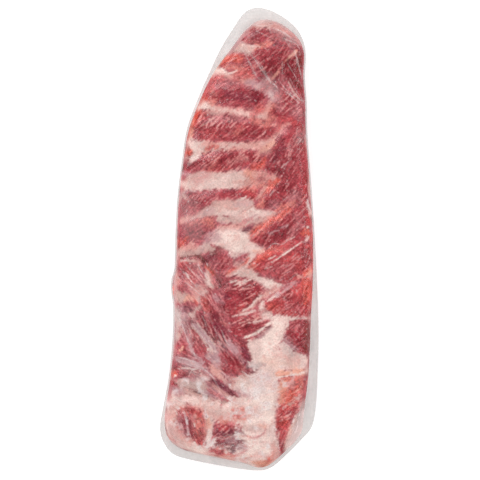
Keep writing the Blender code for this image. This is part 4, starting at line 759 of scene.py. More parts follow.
    ("red", 2.4, 1.8, 0.6, (12,60,1.6, 16,64,2, 20,66,1.4)),
    ("crimson", 2.6, 1.8, 0.5, (4,62,2, -4,64,2.4, -16,62,2.4)),
    ("pink", 2, 1.4, 0.7, (-4,75,1.4, 6,75.4,1.6, 16,75,1.4)),
    ("crimson", 2.4, 1.6, 0.7, (-16,112,1.6, -6,110.6,2, 6,109.6,1.8, 14,109,1.2)),
    ("crimson", 1.8, 1.4, 0.8, (-27,118,1.4, -22,116,2.2, -16,115,2.4)),
    ("purple", 2.6, 1.6, 0.6, (-20,-60,3, -16,-68,4, -12,-76,4)),
    ("dark", 1.8, 1.2, 0.85, (-32,-62,1.2, -28,-69,2, -23,-76,2, -18,-80,1.6)),
    ("crimson", 1.4, 1, 1, (-39,-70,1, -35,-76,2.4, -31,-83,3.2, -28,-87,2.2)),
    ("mauve", 1.2, 0.8, 1, (-36,-66,1.2, -31,-71,1.8, -26,-77,1.8, -22,-83,1.4, -20,-87,1)),
    ("beige", 0.8, 0.6, 0.8, (-38,-68,0.4, -33,-74,0.4, -26,-84,0.4)),
    ("beige", 0.8, 0.6, 0.8, (-34,-66,0.4, -27,-74,0.4, -20,-83,0.4)),
    ("cream", 1.4, 1, 0.95, (-24.5,-86,1.4, -21.5,-88,1.6)),
    ("mauve", 1.8, 1, 0.95, (-25,-92,2.2, -21,-93,3.6, -19,-98,2.6)),
    ("crimson", 2, 1.6, 0.85, (-12,-92,2.6, -7,-98,4, -4,-104,3.4, -12,-103,2.2)),
    ("dark", 1.6, 1.4, 0.7, (-9,-93,1.8, -4,-97,2.2, 0,-102,2)),
    ("mauve", 1.6, 1.2, 0.85, (-8,-82,2.2, -4,-86,2.6)),
    ("pink", 1.8, 1.2, 0.9, (-22,-101,1.6, -18,-105,2.2, -14,-109,1.6)),
    ("grey", 1.6, 1, 0.9, (9,-98,1.2, 14,-100,1, 20,-98,0.5)),
    ("purple", 1.2, 1, 0.8, (5,-103.5,1.2, 10,-104.5,0.8, 15,-102,0.4)),
    ("dark", 0.9, 0.6, 0.9, (-45,-92.8,0.7, -42.5,-93.6,0.9)),
    ("mauve", 1.6, 1, 0.9, (-50,-95,1.6, -42,-96.5,2, -34,-99.5,1.6, -28,-103,1.2)),
    ("dark", 1, 1, 0.9, (-39,-103.5,1.8, -35,-104.5,2, -32,-105.5,1.2)),
    ("beige", 0.5, 0.4, 0.9, (-50,-101.5,0.3, -42,-101.5,0.4, -36,-102.5,0.3)),
    ("beige", 0.5, 0.4, 0.8, (-41,-107.5,0.3, -38.5,-103,0.4, -34,-101.5,0.3)),
    ("beige", 0.5, 0.4, 0.8, (-34.5,-107,0.3, -32,-103,0.3)),
    ("grey", 2.4, 1.2, 0.6, (-44,-111,2, -36,-113,2.6)),
    ("pink", 1.6, 1, 0.8, (-31,-106,1.4, -25,-111,1.4, -18,-117.5,1.2, -10,-123,1, -4,-127,0.6)),
    ("purple", 1.4, 1.2, 0.9, (-24,-111.5,1.2, -19,-113,1.8, -13,-117,2, -6,-121.5,2)),
    ("mauve", 2.4, 1.8, 0.75, (-7,152,1.6, -1,160,2.2, 4,166,2, 10,172,1.6)),
    ("pink", 2.4, 1.8, 0.6, (16,174,1.4, 28,173,1.6, 38,168,1.4)),
    ("mauve", 1.6, 1.2, 0.7, (24,6,0.4, 30,8,0.5, 38,12,0.5)),
    ("crimson", 2.4, 1.8, 0.7, (34,140,1.6, 40,142,3, 44,134,3)),
    ("crimson", 2.4, 1.8, 0.6, (36,158,2, 42,158,2.4)),
    ("salmon", 2.4, 1.6, 0.6, (-3,50,2, 4,48,2.4)),
    ("rose", 2.4, 1.6, 0.6, (-26,-170,2, -16,-170,2)),
    ("rose", 2.4, 1.6, 0.5, (48,60,2.4, 50,68,2)),
    ("crimson", 2.4, 1.4, 0.8, (50,52,2.4, 50,60,3, 50,68,2.4)),
    ("dark", 2.4, 1.6, 0.8, (38,134,3, 42,142,3.6, 46,134,3)),
    ("crimson", 2.4, 1.6, 0.6, (37,160,2.2, 42,159,2.4)),
    ("cream", 2, 1.4, 0.8, (4,-178,1.4, 11,-177,1.8)),
    ("cream", 1.4, 1, 0.95, (7.5,-81,1.4, 9.5,-88,0.9)),
    ("beige", 2.2, 1.4, 0.8, (-5,51,2, 4,50,2.4)),
    ("dusty", 2.4, 1.4, 0.6, (-44,-108,2, -38,-109,2.4)),
    ("pink", 2, 1.4, 0.8, (-12,-109,1.4, -6,-112,2.4, -7,-116,1.4)),
    ("rose", 2.4, 1.6, 0.6, (-53,-119,2, -48,-122,2)),
    ("mauve", 1.6, 1.2, 0.6, (-6,-158,1.4, -12,-160,1.2)),
    ("salmon", 2.4, 1.6, 0.5, (-22,109,2, -18,111,2.4)),
    ("dark", 2.4, 1.6, 0.6, (50,-72,2.4, 50,-80,3)),
    ("orange", 1.6, 1.4, 0.7, (14,-181,1.2, 20,-180.5,1.8)),
    ("cream", 1.6, 1, 0.95, (36,-63.5,2.6, 38,-66,1.8, 35.5,-71,1.4)),
    ("red", 2.4, 1.6, 0.6, (-46,-20,2, -40,-24,3.6, -38,-32,3)),
    ("cream", 1, 0.8, 0.8, (-43,-25.5,0.6, -41,-28,0.8)),
    ("cream", 1.4, 1, 0.8, (-27,-26,0.8, -25,-31,1.2)),
    ("beige", 0.8, 0.6, 0.7, (40,128,0.3, 44,120,0.5, 49,113,0.4)),
    ("crimson", 1.2, 0.9, 0.8, (33,124,0.6, 39,117.5,0.9, 45,111.5,0.6)),
    ("peach", 2, 1.4, 0.8, (8,-178,1.6, 14,-180,2, 21,-180,1.6)),
    ("cream", 1.6, 1.2, 0.7, (5,-178.5,1.2, 11,-182,1.2)),
    ("crimson", 2, 1.6, 0.7, (-24,-168,1.6, -18,-170,2.4, -14,-168,1.6)),
    ("cream", 2.4, 1.4, 0.7, (-52,-163,1.8, -46,-167,2)),
    ("dark", 2.4, 1.4, 0.8, (36,138,2.2, 41,143,3, 45,139,2.2)),
    ("crimson", 2.4, 1.6, 0.8, (16,148,2.2, 22,151,2.6)),
    ("crimson", 2.4, 1.6, 0.6, (-4,122,2.4, 4,121,2.4)),
    ("crimson", 2.4, 1.4, 0.6, (36,110,2.2, 42,112,2.4)),
    ("salmon", 2.4, 1.6, 0.6, (-24,112,1.8, -17,111,1.8)),
    ("cream", 2, 1.4, 0.7, (-39,79,1.6, -36,77,2)), ("cream", 2, 1.4, 0.6, (-4,50,2, 3,50,2)),
    ("salmon", 1.6, 1.2, 0.8, (-57,-109,1, -55,-106,1.4)),
    ("crimson", 1.4, 1.2, 0.9, (-49,-104,1.6, -42,-106,1.8, -34,-106,1.6)),
    ("dark", 1.2, 1, 0.8, (-45,-106.5,1, -36,-104.5,1.6)),
    ("beige", 0.5, 0.4, 0.8, (-50,-101.5,0.3, -42,-101.5,0.4, -36,-102.5,0.3)),
    ("beige", 0.5, 0.4, 0.8, (-41,-107.5,0.3, -38.5,-103,0.4, -34,-101.5,0.3)),
    ("mauve", 2, 1.4, 0.7, (-12,-108,1.6, -8,-112,2)),
    ("mauve", 2.4, 1.4, 0.8, (-53,-118,1.6, -47,-120,2.2)),
    ("grey", 2.4, 1.4, 0.8, (-50,-56,1.6, -49,-64,1.8)),
    ("pink", 1.8, 1.2, 0.7, (-50,-28,1.2, -50,-34,1.4)),
    ("rose", 2.2, 1.6, 0.8, (-20,-28,2.2, -19,-33,2.2)),
    # The deep fold, with painted shade along its bottom
    ("dark", 1.4, 0.8, 0.8, (-33,-12.5,0.9, -29,-15.5,1.4, -26,-18.5,0.9)),
    ("shade", 0.8, 0.5, 0.95, (-51,-15,0.5, -45,-13,0.7, -38,-11.8,0.7, -32,-12.2,0.6,
        -28.5,-15,0.9)), ("orange", 1.2, 0.7, 0.8, (-26.5,-20,0.8, -22,-25,1.2, -19.5,-28,0.9)),
    ("dusty", 1.8, 0.9, 1, (-20,-28,1, -17,-33,1.8, -15.5,-39,1.6)),
    ("shade", 1, 0.6, 0.6, (-26,-19,0.5, -21,-25,0.6, -17.4,-30,0.9, -15.4,-36,1.2)),
)

# Muscle crossed by pale fibres: strength, then a chain of places with half widths
PALE_FIBRES = (
    (0.9, (-28,96,5, -12,96,6, 4,93,5)), (0.8, (-30,66,5, -10,68,7, 14,70,6)),
    (0.7, (-12,60,4, 4,63,5)), (0.6, (0,37,4, 12,40,4)), (0.7, (14,45,4, 26,50,4)),
    (0.9, (-4,-34,5, 12,-37,7)), (0.9, (4,-52,4, 16,-46,5)), (0.8, (0,-64,6, 16,-64,6)),
    (0.8, (22,-42,5, 40,-38,5)), (0.5, (30,-22,9, 46,-12,9)), (0.5, (34,10,8, 50,20,7)),
    (0.6, (30,60,8, 46,74,8)), (0.7, (0,152,4, -12,142,5)), (0.5, (14,145,7, 26,140,7)),
    (0.7, (42,112,7, 38,104,6)), (0.8, (-36,-28,8, -30,-44,8)), (0.7, (-34,-72,8, -16,-80,8)),
    (0.8, (-44,-100,6, -32,-104,6)), (0.6, (-42,-146,6)), (0.6, (38,-120,7, 34,-146,6)),
    (0.7, (-14,-152,5, -8,-166,4)), (0.6, (0,-172,5, 12,-172,5)), (0.6, (20,22,4, 8,16,4)),
    (0.8, (18,84,3, 28,86,3)), (0.5, (40,45,8, 48,38,6)),
)


def smooth_loop(corners, step):
    """A closed smooth line through the corners, with points about one step apart."""
    pts = np.array(corners)
    before, after, beyond = np.roll(pts, 1, 0), np.roll(pts, -1, 0), np.roll(pts, -2, 0)
    fine = []
    for t in np.linspace(0.0, 1.0, 24, endpoint=False):
        fine.append(0.5 * (2 * pts + (after - before) * t
                           + (2 * before - 5 * pts + 4 * after - beyond) * t * t
                           + (3 * pts - before - 3 * after + beyond) * t ** 3))
    line = np.stack(fine, 1).reshape(-1, 2)
    closed = np.vstack([line, line[:1]])
    run = np.concatenate([[0.0], np.cumsum(np.hypot(*np.diff(closed, axis=0).T))])
    count = int(round(run[-1] / step))
    wanted = np.linspace(0.0, run[-1], count, endpoint=False)
    return np.stack([np.interp(wanted, run, closed[:, 0]), np.interp(wanted, run, closed[:, 1])], 1)


def line_distance(points, line):
    """Distance from each point to a chain of straight pieces, and how far along the nearest is."""
    best = np.full(len(points), 1e9)
    along = np.zeros(len(points))
    pieces = len(line) - 1
    for i in range(pieces):
        a, b = line[i], line[i + 1]
        ab = b - a
        t = np.clip(((points - a) @ ab) / (ab @ ab), 0.0, 1.0)
        gap = np.hypot(*(points - a - t[:, None] * ab).T)
        nearer = gap < best
        best = np.where(nearer, gap, best)
        along = np.where(nearer, (i + t) / pieces, along)
    return best, along


def inside(points, loop):
    """True for points inside a closed loop."""
    x, y = points.T
    result = np.zeros(len(points), bool)
    for (x0, y0), (x1, y1) in zip(loop, np.roll(loop, -1, 0)):
        if y0 == y1:
            continue
        crosses = (y0 > y) != (y1 > y)
        result ^= crosses & (x < x0 + (y - y0) * (x1 - x0) / (y1 - y0))
    return result


def depth_inside(points, loop):
    """Distance to a closed loop, positive inside it and negative outside."""
    gap, _ = line_distance(points, np.vstack([loop, loop[:1]]))
    return np.where(inside(points, loop), gap, -gap)


def quarter_round(depth, radius):
    """Rises from 0 to 1 as a quarter circle over one radius."""
    t = 1.0 - np.clip(depth / radius, 0.0, 1.0)
    return np.sqrt(1.0 - t * t)


def smooth_step(value, start, end):
    """Rises smoothly from 0 at start to 1 at end."""
    t = np.clip((value - start) / (end - start), 0.0, 1.0)
    return t * t * (3.0 - 2.0 * t)


def rib_slope(number):
    """How much a rib climbs for each millimetre to the right."""
    t = min(number / RIB_SLOPE_SETTLES_AT, 1.0)
    return RIB_SLOPES[0] + (RIB_SLOPES[1] - RIB_SLOPES[0]) * t


def rim_height(points, slab_depth):
    """Height of the middle of the rim: it sags outwards and waves a little along the edge."""
    _, along = line_distance(points, np.vstack([film_loop, film_loop[:1]]))
    wave = RIM_WAVE * np.sin(along * RIM_WAVES * 2 * math.pi)
    outside = np.clip(-slab_depth, 0.0, None)
    return SEAM_HEIGHT - RIM_SAG * outside + wave * np.clip(outside / 4.0, 0.0, 1.0)


def relief(points):
    """Swells of ribs, muscles and fat, and the folds between them."""
    x, y = points.T
    rise = np.zeros(len(points))
    for number in range(RIB_COUNT):
        off = (y - (FIRST_RIB_Y - number * RIB_PITCH) - rib_slope(number) * x)
        ridge = np.exp(-(off / RIB_HALF_WIDTH) ** 2)
        rise += RIB_RIDGE_HEIGHT * ridge * (1.0 - smooth_step(x, 0.0, RIB_RIDGES_END_X))
    for x0, y0, x1, y1, half_width, height in MUSCLES:
        reach = math.hypot(x1 - x0, y1 - y0) / 2.0 + half_width
        turn = math.atan2(y1 - y0, x1 - x0)
        dx, dy = x - (x0 + x1) / 2.0, y - (y0 + y1) / 2.0
        along = (dx * math.cos(turn) + dy * math.sin(turn)) / reach
        across = (dy * math.cos(turn) - dx * math.sin(turn)) / half_width
        rise += height * (1.0 - smooth_step(np.hypot(along, across), 0.25, 1.15))
    cx, cy, rx, ry, height = FAT_CUSHION
    rise += height * (1.0 - smooth_step(np.hypot((x - cx) / rx, (y - cy) / ry), 0.35, 1.15))
    for line, half_width, depth in FOLDS:
        gap, _ = line_distance(points, np.array(line))
        rise -= depth * np.exp(-(gap / half_width) ** 2)
    for middle, half_length, height in RIB_END_BUMPS:
        near_edge = 1.0 - smooth_step(x, -52.0, -40.0)
        rise += height * near_edge * np.exp(-((y - middle) / half_length) ** 2)
    return rise


def pack_top(points, depth):
    """Height of the upper side of the pack."""
    stations = np.array(THICKNESS_AT)[::-1]
    thickness = np.interp(points[:, 1], stations[:, 0], stations[:, 1])
    crown = thickness - SEAM_HEIGHT - STEEP_SIDE_DROP * (1.0 - smooth_step(depth, 6.0, 30.0))
    cx, cy, reach, extra = SLOPED_CORNER
    corner = 1.0 - smooth_step(np.hypot(points[:, 0] - cx, points[:, 1] - cy), 0.0, reach)
    side = quarter_round(depth, TOP_ROUNDING + extra * corner)
    full = (crown + relief(points) * smooth_step(depth, 0.0, 9.0)) * side
    return rim_height(points, depth) + FILM_RIM_THICKNESS / 2 + full


def inner_points(loop, step, clear):
    """Staggered rows of points inside a loop, kept clear of it."""
    low, high = loop.min(0), loop.max(0)
    rows = []
    row_step = step * math.sqrt(3.0) / 2.0
    for number in range(int((high[1] - low[1]) / row_step) + 1):
        xs = np.arange(low[0], high[0], step) + (number % 2) * step / 2.0
        rows.append(np.stack([xs, np.full(len(xs), low[1] + number * row_step)], 1))
    grid = np.vstack(rows)
    return grid[depth_inside(grid, loop) > clear]


def triangulate(loops, grid):
    """Points and triangles that fill the first loop and keep the edges of every loop."""
    points, edges = [], []
    for loop in loops:
        first = len(points)
        points.extend(loop)
        edges.extend((first + i, first + (i + 1) % len(loop)) for i in range(len(loop)))
    points.extend(grid)
    flat = [Vector((float(px), float(py))) for px, py in points]
    verts, _, faces, sources, _, _ = delaunay_2d_cdt(flat, edges, [], 1, 1e-5)
    rim = {}
    for index, source in enumerate(sources):
        for original in source:
            if original < len(loops[0]):
                rim[original] = index
    ring = [rim[i] for i in range(len(loops[0]))]
    return np.array([(v.x, v.y) for v in verts]), np.array([tuple(f) for f in faces]), ring


def inset_loop(loop, distance):
    """The loop moved inwards."""
    tangent = np.roll(loop, -1, 0) - np.roll(loop, 1, 0)
    inward = np.stack([-tangent[:, 1], tangent[:, 0]], 1)
    inward /= np.hypot(*inward.T)[:, None]
    return loop + inward * distance


def make_piece(name, points, faces, material, fields):
    """A mesh object with its fields stored on its points, riding on the part."""
    mesh = bpy.data.meshes.new(name)
    mesh.vertices.add(len(points))
    mesh.vertices.foreach_set("co", (points * MM).astype(np.float32).ravel())
    sizes = np.array([len(f) for f in faces])
    mesh.loops.add(int(sizes.sum()))
    mesh.loops.foreach_set("vertex_index", np.concatenate([np.asarray(f) for f in faces]))
    mesh.polygons.add(len(faces))
    mesh.polygons.foreach_set("loop_start", np.concatenate([[0], np.cumsum(sizes)[:-1]]))
    mesh.update(calc_edges=True)
    mesh.validate()
    for field_name, values in fields.items():
        kind = "FLOAT_VECTOR" if values.ndim == 2 else "FLOAT"
        layer = mesh.attributes.new(field_name, kind, "POINT")
        layer.data.foreach_set("vector" if values.ndim == 2 else "value",
                               values.astype(np.float32).ravel())
    mesh.materials.append(material)
    mesh.shade_smooth()
    piece = bpy.data.objects.new(name, mesh)
    bpy.context.scene.collection.objects.link(piece)
    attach(piece, "root")
    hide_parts("sealed_rack")
    return piece


film_loop = smooth_loop(FILM_EDGE, EDGE_STEP)
slab_loop = smooth_loop(SLAB_EDGE, EDGE_STEP)
pack_middle = (film_loop.min(0) + film_loop.max(0)) / 2.0


def placed(points, heights):
    """Points in the part's own frame, in millimetres."""
    return np.column_stack([points - pack_middle, heights])


# The maps below hold how the tissues lie, seen from above, before the face is shaped from them
map_x = np.arange(-MAP_REACH[0], MAP_REACH[0] + 0.01, MAP_CELL)
map_y = np.arange(-MAP_REACH[1], MAP_REACH[1] + 0.01, MAP_CELL)
wide_x, wide_y = np.meshgrid(map_x, map_y)


def from_map(values, points):
    """Values of a map at points, blended between its cells."""
    col = np.clip((points[:, 0] + MAP_REACH[0]) / MAP_CELL, 0, len(map_x) - 1.001)
    row = np.clip((points[:, 1] + MAP_REACH[1]) / MAP_CELL, 0, len(map_y) - 1.001)
    c, r = col.astype(int), row.astype(int)
    u, v = col - c, row - r
    if values.ndim == 3:
        u, v = u[:, None], v[:, None]
    low = values[r, c] * (1 - u) + values[r, c + 1] * u
    high = values[r + 1, c] * (1 - u) + values[r + 1, c + 1] * u
    return low * (1 - v) + high * v


def speckle(size, seed):
    """A map of smooth random patches of about that size, mean 0, spread 1."""
    rng = np.random.default_rng(seed)
    shape = (int(2 * MAP_REACH[1] / size) + 4, int(2 * MAP_REACH[0] / size) + 4)
    coarse = rng.standard_normal(shape)
    col = (wide_x + MAP_REACH[0]) / size
    row = (wide_y + MAP_REACH[1]) / size
    c, r = col.astype(int), row.astype(int)
    u, v = col - c, row - r
    u, v = u * u * (3 - 2 * u), v * v * (3 - 2 * v)
    low = coarse[r, c] * (1 - u) + coarse[r, c + 1] * u
    high = coarse[r + 1, c] * (1 - u) + coarse[r + 1, c + 1] * u
    mixed = low * (1 - v) + high * v
    return (mixed - mixed.mean()) / mixed.std()


def combed(values, angle, length):
    """A map drawn out along the direction in the angle map, as fibres are."""
    step_x, step_y = np.cos(angle), np.sin(angle)
    total = values.copy()
    for way in (1.0, -1.0):
        x, y = wide_x.copy(), wide_y.copy()
        for _ in range(int(length / 2 / MAP_CELL)):
            c = np.clip(((x + MAP_REACH[0]) / MAP_CELL).round().astype(int), 0, len(map_x) - 1)
            r = np.clip(((y + MAP_REACH[1]) / MAP_CELL).round().astype(int), 0, len(map_y) - 1)
            x = x + way * step_x[r, c] * MAP_CELL
            y = y + way * step_y[r, c] * MAP_CELL
            c = np.clip(((x + MAP_REACH[0]) / MAP_CELL).round().astype(int), 0, len(map_x) - 1)
            r = np.clip(((y + MAP_REACH[1]) / MAP_CELL).round().astype(int), 0, len(map_y) - 1)
            total += values[r, c]
    return (total - total.mean()) / total.std()


def blurred(values, size):
    """A map smoothed over about that size in millimetres."""
    reach = int(2.5 * size / MAP_CELL) + 1
    weights = [math.exp(-0.5 * (k * MAP_CELL / size) ** 2) for k in range(-reach, reach + 1)]
    total = sum(weights)
    for axis in (0, 1):
        values = sum(w * np.roll(values, k - reach, axis) for k, w in enumerate(weights)) / total
    return values


def grain_angles(anchors):
    """A map of directions that follows the nearest anchors."""
    turn_x, turn_y = np.zeros_like(wide_x), np.zeros_like(wide_x)
    for x, y, degrees in anchors:
        weight = 1.0 / ((wide_x - x) ** 2 + (wide_y - y) ** 2 + 20.0) ** 2
        turn_x += weight * math.cos(math.radians(2 * degrees))
        turn_y += weight * math.sin(math.radians(2 * degrees))
    return np.arctan2(turn_y, turn_x) / 2.0


def stroke_depth(chain, x, y):
    """How deep each place lies inside a chain of tapering strokes, negative outside."""
    nodes = np.array(chain, float).reshape(-1, 3)
    if len(nodes) == 1:
        return nodes[0, 2] - np.hypot(x - nodes[0, 0], y - nodes[0, 1])
    if len(nodes) > 2:
        ends = np.vstack([2 * nodes[0] - nodes[1], nodes, 2 * nodes[-1] - nodes[-2]])
        bent = []
        for a, b, c, d in zip(ends, ends[1:], ends[2:], ends[3:]):
            for t in (0.0, 0.33, 0.67):
                bent.append(0.5 * (2 * b + (c - a) * t + (2 * a - 5 * b + 4 * c - d) * t * t
                                   + (3 * b - a - 3 * c + d) * t ** 3))
        nodes = np.array(bent + [nodes[-1]])
    best = np.full(np.shape(x), -1e9)
    for (x0, y0, w0), (x1, y1, w1) in zip(nodes, nodes[1:]):
        dx, dy = x1 - x0, y1 - y0
        t = np.clip(((x - x0) * dx + (y - y0) * dy) / max(dx * dx + dy * dy, 1e-9), 0.0, 1.0)
        best = np.maximum(best, w0 + (w1 - w0) * t - np.hypot(x - x0 - t * dx, y - y0 - t * dy))
    return best


def window(chain, margin):
    """The part of the maps that a chain of strokes can reach."""
    nodes = np.array(chain, float).reshape(-1, 3)
    wide = nodes[:, 2].max() + margin
    x0, y0 = nodes[:, 0].min() - wide, nodes[:, 1].min() - wide
    x1, y1 = nodes[:, 0].max() + wide, nodes[:, 1].max() + wide
    spans = []
    for low, high, half in ((y0, y1, MAP_REACH[1]), (x0, x1, MAP_REACH[0])):
        first = max(int((low + half) / MAP_CELL), 0)
        spans.append(slice(first, int((high + half) / MAP_CELL) + 2))
    return tuple(spans)


def to_linear(colour):
    """A colour out of 255 as linear light."""
    c = np.array(colour) / 255.0
    return np.where(c <= 0.04045, c / 12.92, ((c + 0.055) / 1.055) ** 2.4)


angle_map = grain_angles(GRAIN)
fine_fibres = combed(speckle(0.55, 11), angle_map, 3.5)
strands = combed(speckle(1.0, 12), angle_map, 7.0)
grit = 0.7 * speckle(0.7, 18) + 0.45 * speckle(1.5, 19)
edge_noise = 0.32 * strands + 0.2 * fine_fibres + 0.4 * speckle(1.2, 14) + 0.3 * speckle(2.8, 13)
patches = 0.6 * speckle(9.0, 15) + 0.5 * speckle(4.0, 16)
curds = 0.7 * speckle(2.4, 20) + 0.6 * speckle(1.2, 21)

# Layers bleed a little into each other, as moist tissue does
BLEED_SHARE = 0.25
BLEED_WIDTH = 1.8
USUAL_FIBRES = 0.3
LEAN_FROM_MUSCLE = (0.25, 0.9)
PALE_FIBRE = (232, 168, 160)
PALE_FIBRE_SHARE = 0.8
WHITER_FAT_AND_HIGHLIGHT = (243, 230, 226)
WHITER_FAT_AND_HIGHLIGHT_SHARE = 0.6
WHITER_FAT_AND_HIGHLIGHT_FROM_MIDDLE = (85.0, 115.0)
FLUSHED_FAT = (228, 166, 156)
FLUSHED_SHARE = 0.4
LEAN_DEPTH = (1.01, 0.93, 0.985)
FAT_LIGHT = (1.01, 1.04, 1.07)
CRISP_SHARE = 0.5
CRISP_WIDTH = 1.0

tissue_map = np.empty(wide_x.shape + (4,))
tissue_map[:] = np.append(to_linear(TISSUES["dusty"][0]), TISSUES["dusty"][1])
for tissue, soft, ragged, strength, chain in LAYERS:
    area = window(chain, soft + 3.0 * ragged)
    depth = stroke_depth(chain, wide_x[area], wide_y[area]) + ragged * edge_noise[area]
    cover = (strength * smooth_step(depth, -soft, 0.8 * soft))[..., None]
    ink = np.append(to_linear(TISSUES[tissue][0]), TISSUES[tissue][1])
    tissue_map[area] = tissue_map[area] * (1 - cover) + ink * cover
tissue_map += BLEED_SHARE * (blurred(tissue_map, BLEED_WIDTH) - tissue_map)


def strongest(base, strokes):
    """A map of the strongest of several soft strokes at each place."""
    result = np.full(wide_x.shape, base)
    for strength, chain in strokes:
        area = window(chain, 6.0)
        cover = smooth_step(stroke_depth(chain, wide_x[area], wide_y[area]), -4.0, 2.0)
        result[area] = np.maximum(result[area], strength * cover)
    return result


fibre_map = strongest(USUAL_FIBRES, PALE_FIBRES)
muscle_map = tissue_map[..., 3]
colour_map = tissue_map[..., :3]
lean = smooth_step(muscle_map, *LEAN_FROM_MUSCLE)
fat = 1 - lean


def tint_tissue(colour, share):
    """Brings the tissue nearer a colour, by a share at each place."""
    colour_map[:] += (to_linear(colour) - colour_map) * share[..., None]


# Muscle is the more broken up in tone: by strands, single fibres, grit and broad patches
shade = 1.0 + lean * (0.06 * strands + 0.10 * fine_fibres + 0.16 * grit + 0.09 * patches)
shade += fat * (0.03 * fine_fibres + 0.03 * grit + 0.06 * patches)
colour_map *= np.clip(shade, 0.4, 1.7)[..., None]
pale = smooth_step(0.9 * strands + 0.5 * fine_fibres, 0.3, 2.0) * fibre_map * lean
tint_tissue(PALE_FIBRE, PALE_FIBRE_SHARE * pale)
# The fat is whiter towards the broad end, which lies at negative y. The whiter patches are partly
# paler fat and partly painted highlights of the film.
whiter_fat_and_highlights = smooth_step(0.8 * speckle(5.0, 31) + 0.4 * curds, 0.2, 1.6)
whiter_fat_and_highlights *= smooth_step(-wide_y, *WHITER_FAT_AND_HIGHLIGHT_FROM_MIDDLE)
tint_tissue(WHITER_FAT_AND_HIGHLIGHT, WHITER_FAT_AND_HIGHLIGHT_SHARE * whiter_fat_and_highlights * fat)
tint_tissue(FLUSHED_FAT, FLUSHED_SHARE * smooth_step(curds, 0.1, 1.9) * fat)
colour_map *= np.array(LEAN_DEPTH) * lean[..., None] + np.array(FAT_LIGHT) * fat[..., None]
crisp = colour_map / np.maximum(blurred(colour_map, CRISP_WIDTH), 0.01) - 1.0
colour_map *= 1.0 + CRISP_SHARE * np.clip(crisp, -0.5, 0.6)

SKIN_INSET = 0.15
FACE_RINGS = (0.7, 1.2, 2.0, 3.0)
FACE_SINK = 0.65
# The places above are as seen from straight overhead, so on the raised face they lie a little
# nearer the middle. The turn and the shift bring them square to the slab.
PAINT_GROWTH = 1.01
PAINT_TURN = 0.0065
PAINT_SHIFT = (0.1, 1.2)

slab_skin = inset_loop(slab_loop, SKIN_INSET)
rings = [slab_skin] + [inset_loop(slab_loop, d) for d in FACE_RINGS]
face_grid = inner_points(rings[-1], FACE_STEP, FACE_STEP * 0.6)
face_xy, face_tris, face_ring = triangulate(rings, face_grid)
face_depth = depth_inside(face_xy, slab_loop)
face_gap = FACE_GAP_UNDER_FILM * smooth_step(face_depth, 0.0, 1.5) + FACE_SINK
face_z = pack_top(face_xy, face_depth) - face_gap
seen_xy = face_xy * PAINT_GROWTH + face_xy[:, ::-1] * (PAINT_TURN, -PAINT_TURN) + PAINT_SHIFT
detail = 0.35 * (muscle_map - 0.5) + 0.08 * lean * fine_fibres + 0.12 * lean * strands
face_z += from_map(detail, seen_xy) * smooth_step(face_depth, 0.5, 4.0)


def tissue_material(name):
    """Moist raw tissue: its colour comes from the laid-on layers, broken up by fine marbling."""
    material = bpy.data.materials.new(name)
    material.use_nodes = True
    nodes, links = material.node_tree.nodes, material.node_tree.links
    shader = nodes["Principled BSDF"]
    shader.inputs["Roughness"].default_value = 0.38
    shader.inputs["Specular IOR Level"].default_value = 0.02
    shader.inputs["Subsurface Weight"].default_value = 0.0
    tissue = nodes.new("ShaderNodeAttribute")
    tissue.attribute_name = "tissue"
    lean_part = nodes.new("ShaderNodeAttribute")
    lean_part.attribute_name = "lean"
    coords = nodes.new("ShaderNodeTexCoord")
    marbling = nodes.new("ShaderNodeTexNoise")
    marbling.inputs["Scale"].default_value = 900.0
    marbling.inputs["Detail"].default_value = 3.0
    links.new(coords.outputs["Object"], marbling.inputs["Vector"])
    spread = nodes.new("ShaderNodeMapRange")
    spread.inputs["From Min"].default_value = 0.3
    spread.inputs["From Max"].default_value = 0.7
    spread.inputs["To Min"].default_value = 0.86
    spread.inputs["To Max"].default_value = 1.14
    links.new(marbling.outputs["Fac"], spread.inputs["Value"])
    tinted = nodes.new("ShaderNodeVectorMath")
    tinted.operation = "SCALE"
    links.new(tissue.outputs["Vector"], tinted.inputs[0])
    links.new(spread.outputs["Result"], tinted.inputs["Scale"])
    links.new(tinted.outputs["Vector"], shader.inputs["Base Color"])
    wet = nodes.new("ShaderNodeMapRange")
    wet.inputs["To Min"].default_value = 0.45
    wet.inputs["To Max"].default_value = 0.30
    links.new(lean_part.outputs["Fac"], wet.inputs["Value"])
    links.new(wet.outputs["Result"], shader.inputs["Roughness"])
    bump = nodes.new("ShaderNodeBump")
    bump.inputs["Strength"].default_value = 0.35
    bump.inputs["Distance"].default_value = 0.0006
    links.new(marbling.outputs["Fac"], bump.inputs["Height"])
    links.new(bump.outputs["Normal"], shader.inputs["Normal"])
    return material


# The film mirrors more light where it slopes down to the edge, so the tissue there is painted
# deeper: painted shade along the sloping edge of the face
LIGHT_ON_MEAT = 1.02
FILM_GLOW = 0.02
EDGE_PAINTED_SHADE = (0.07, 0.055, 0.055)
SLOPE_WIDTH = (1.0, 9.0)

meat = tissue_material("raw_meat")
film_glow_and_edge_shade = FILM_GLOW + (1.0 - smooth_step(face_depth, *SLOPE_WIDTH))[:, None] * EDGE_PAINTED_SHADE
face_colour = (from_map(colour_map, seen_xy) - film_glow_and_edge_shade) / LIGHT_ON_MEAT
face_fields = {"tissue": np.clip(face_colour, 0.005, 0.95), "lean": from_map(lean, seen_xy)}
make_piece("rib_slab_face", placed(face_xy, face_z), face_tris, meat, face_fields)

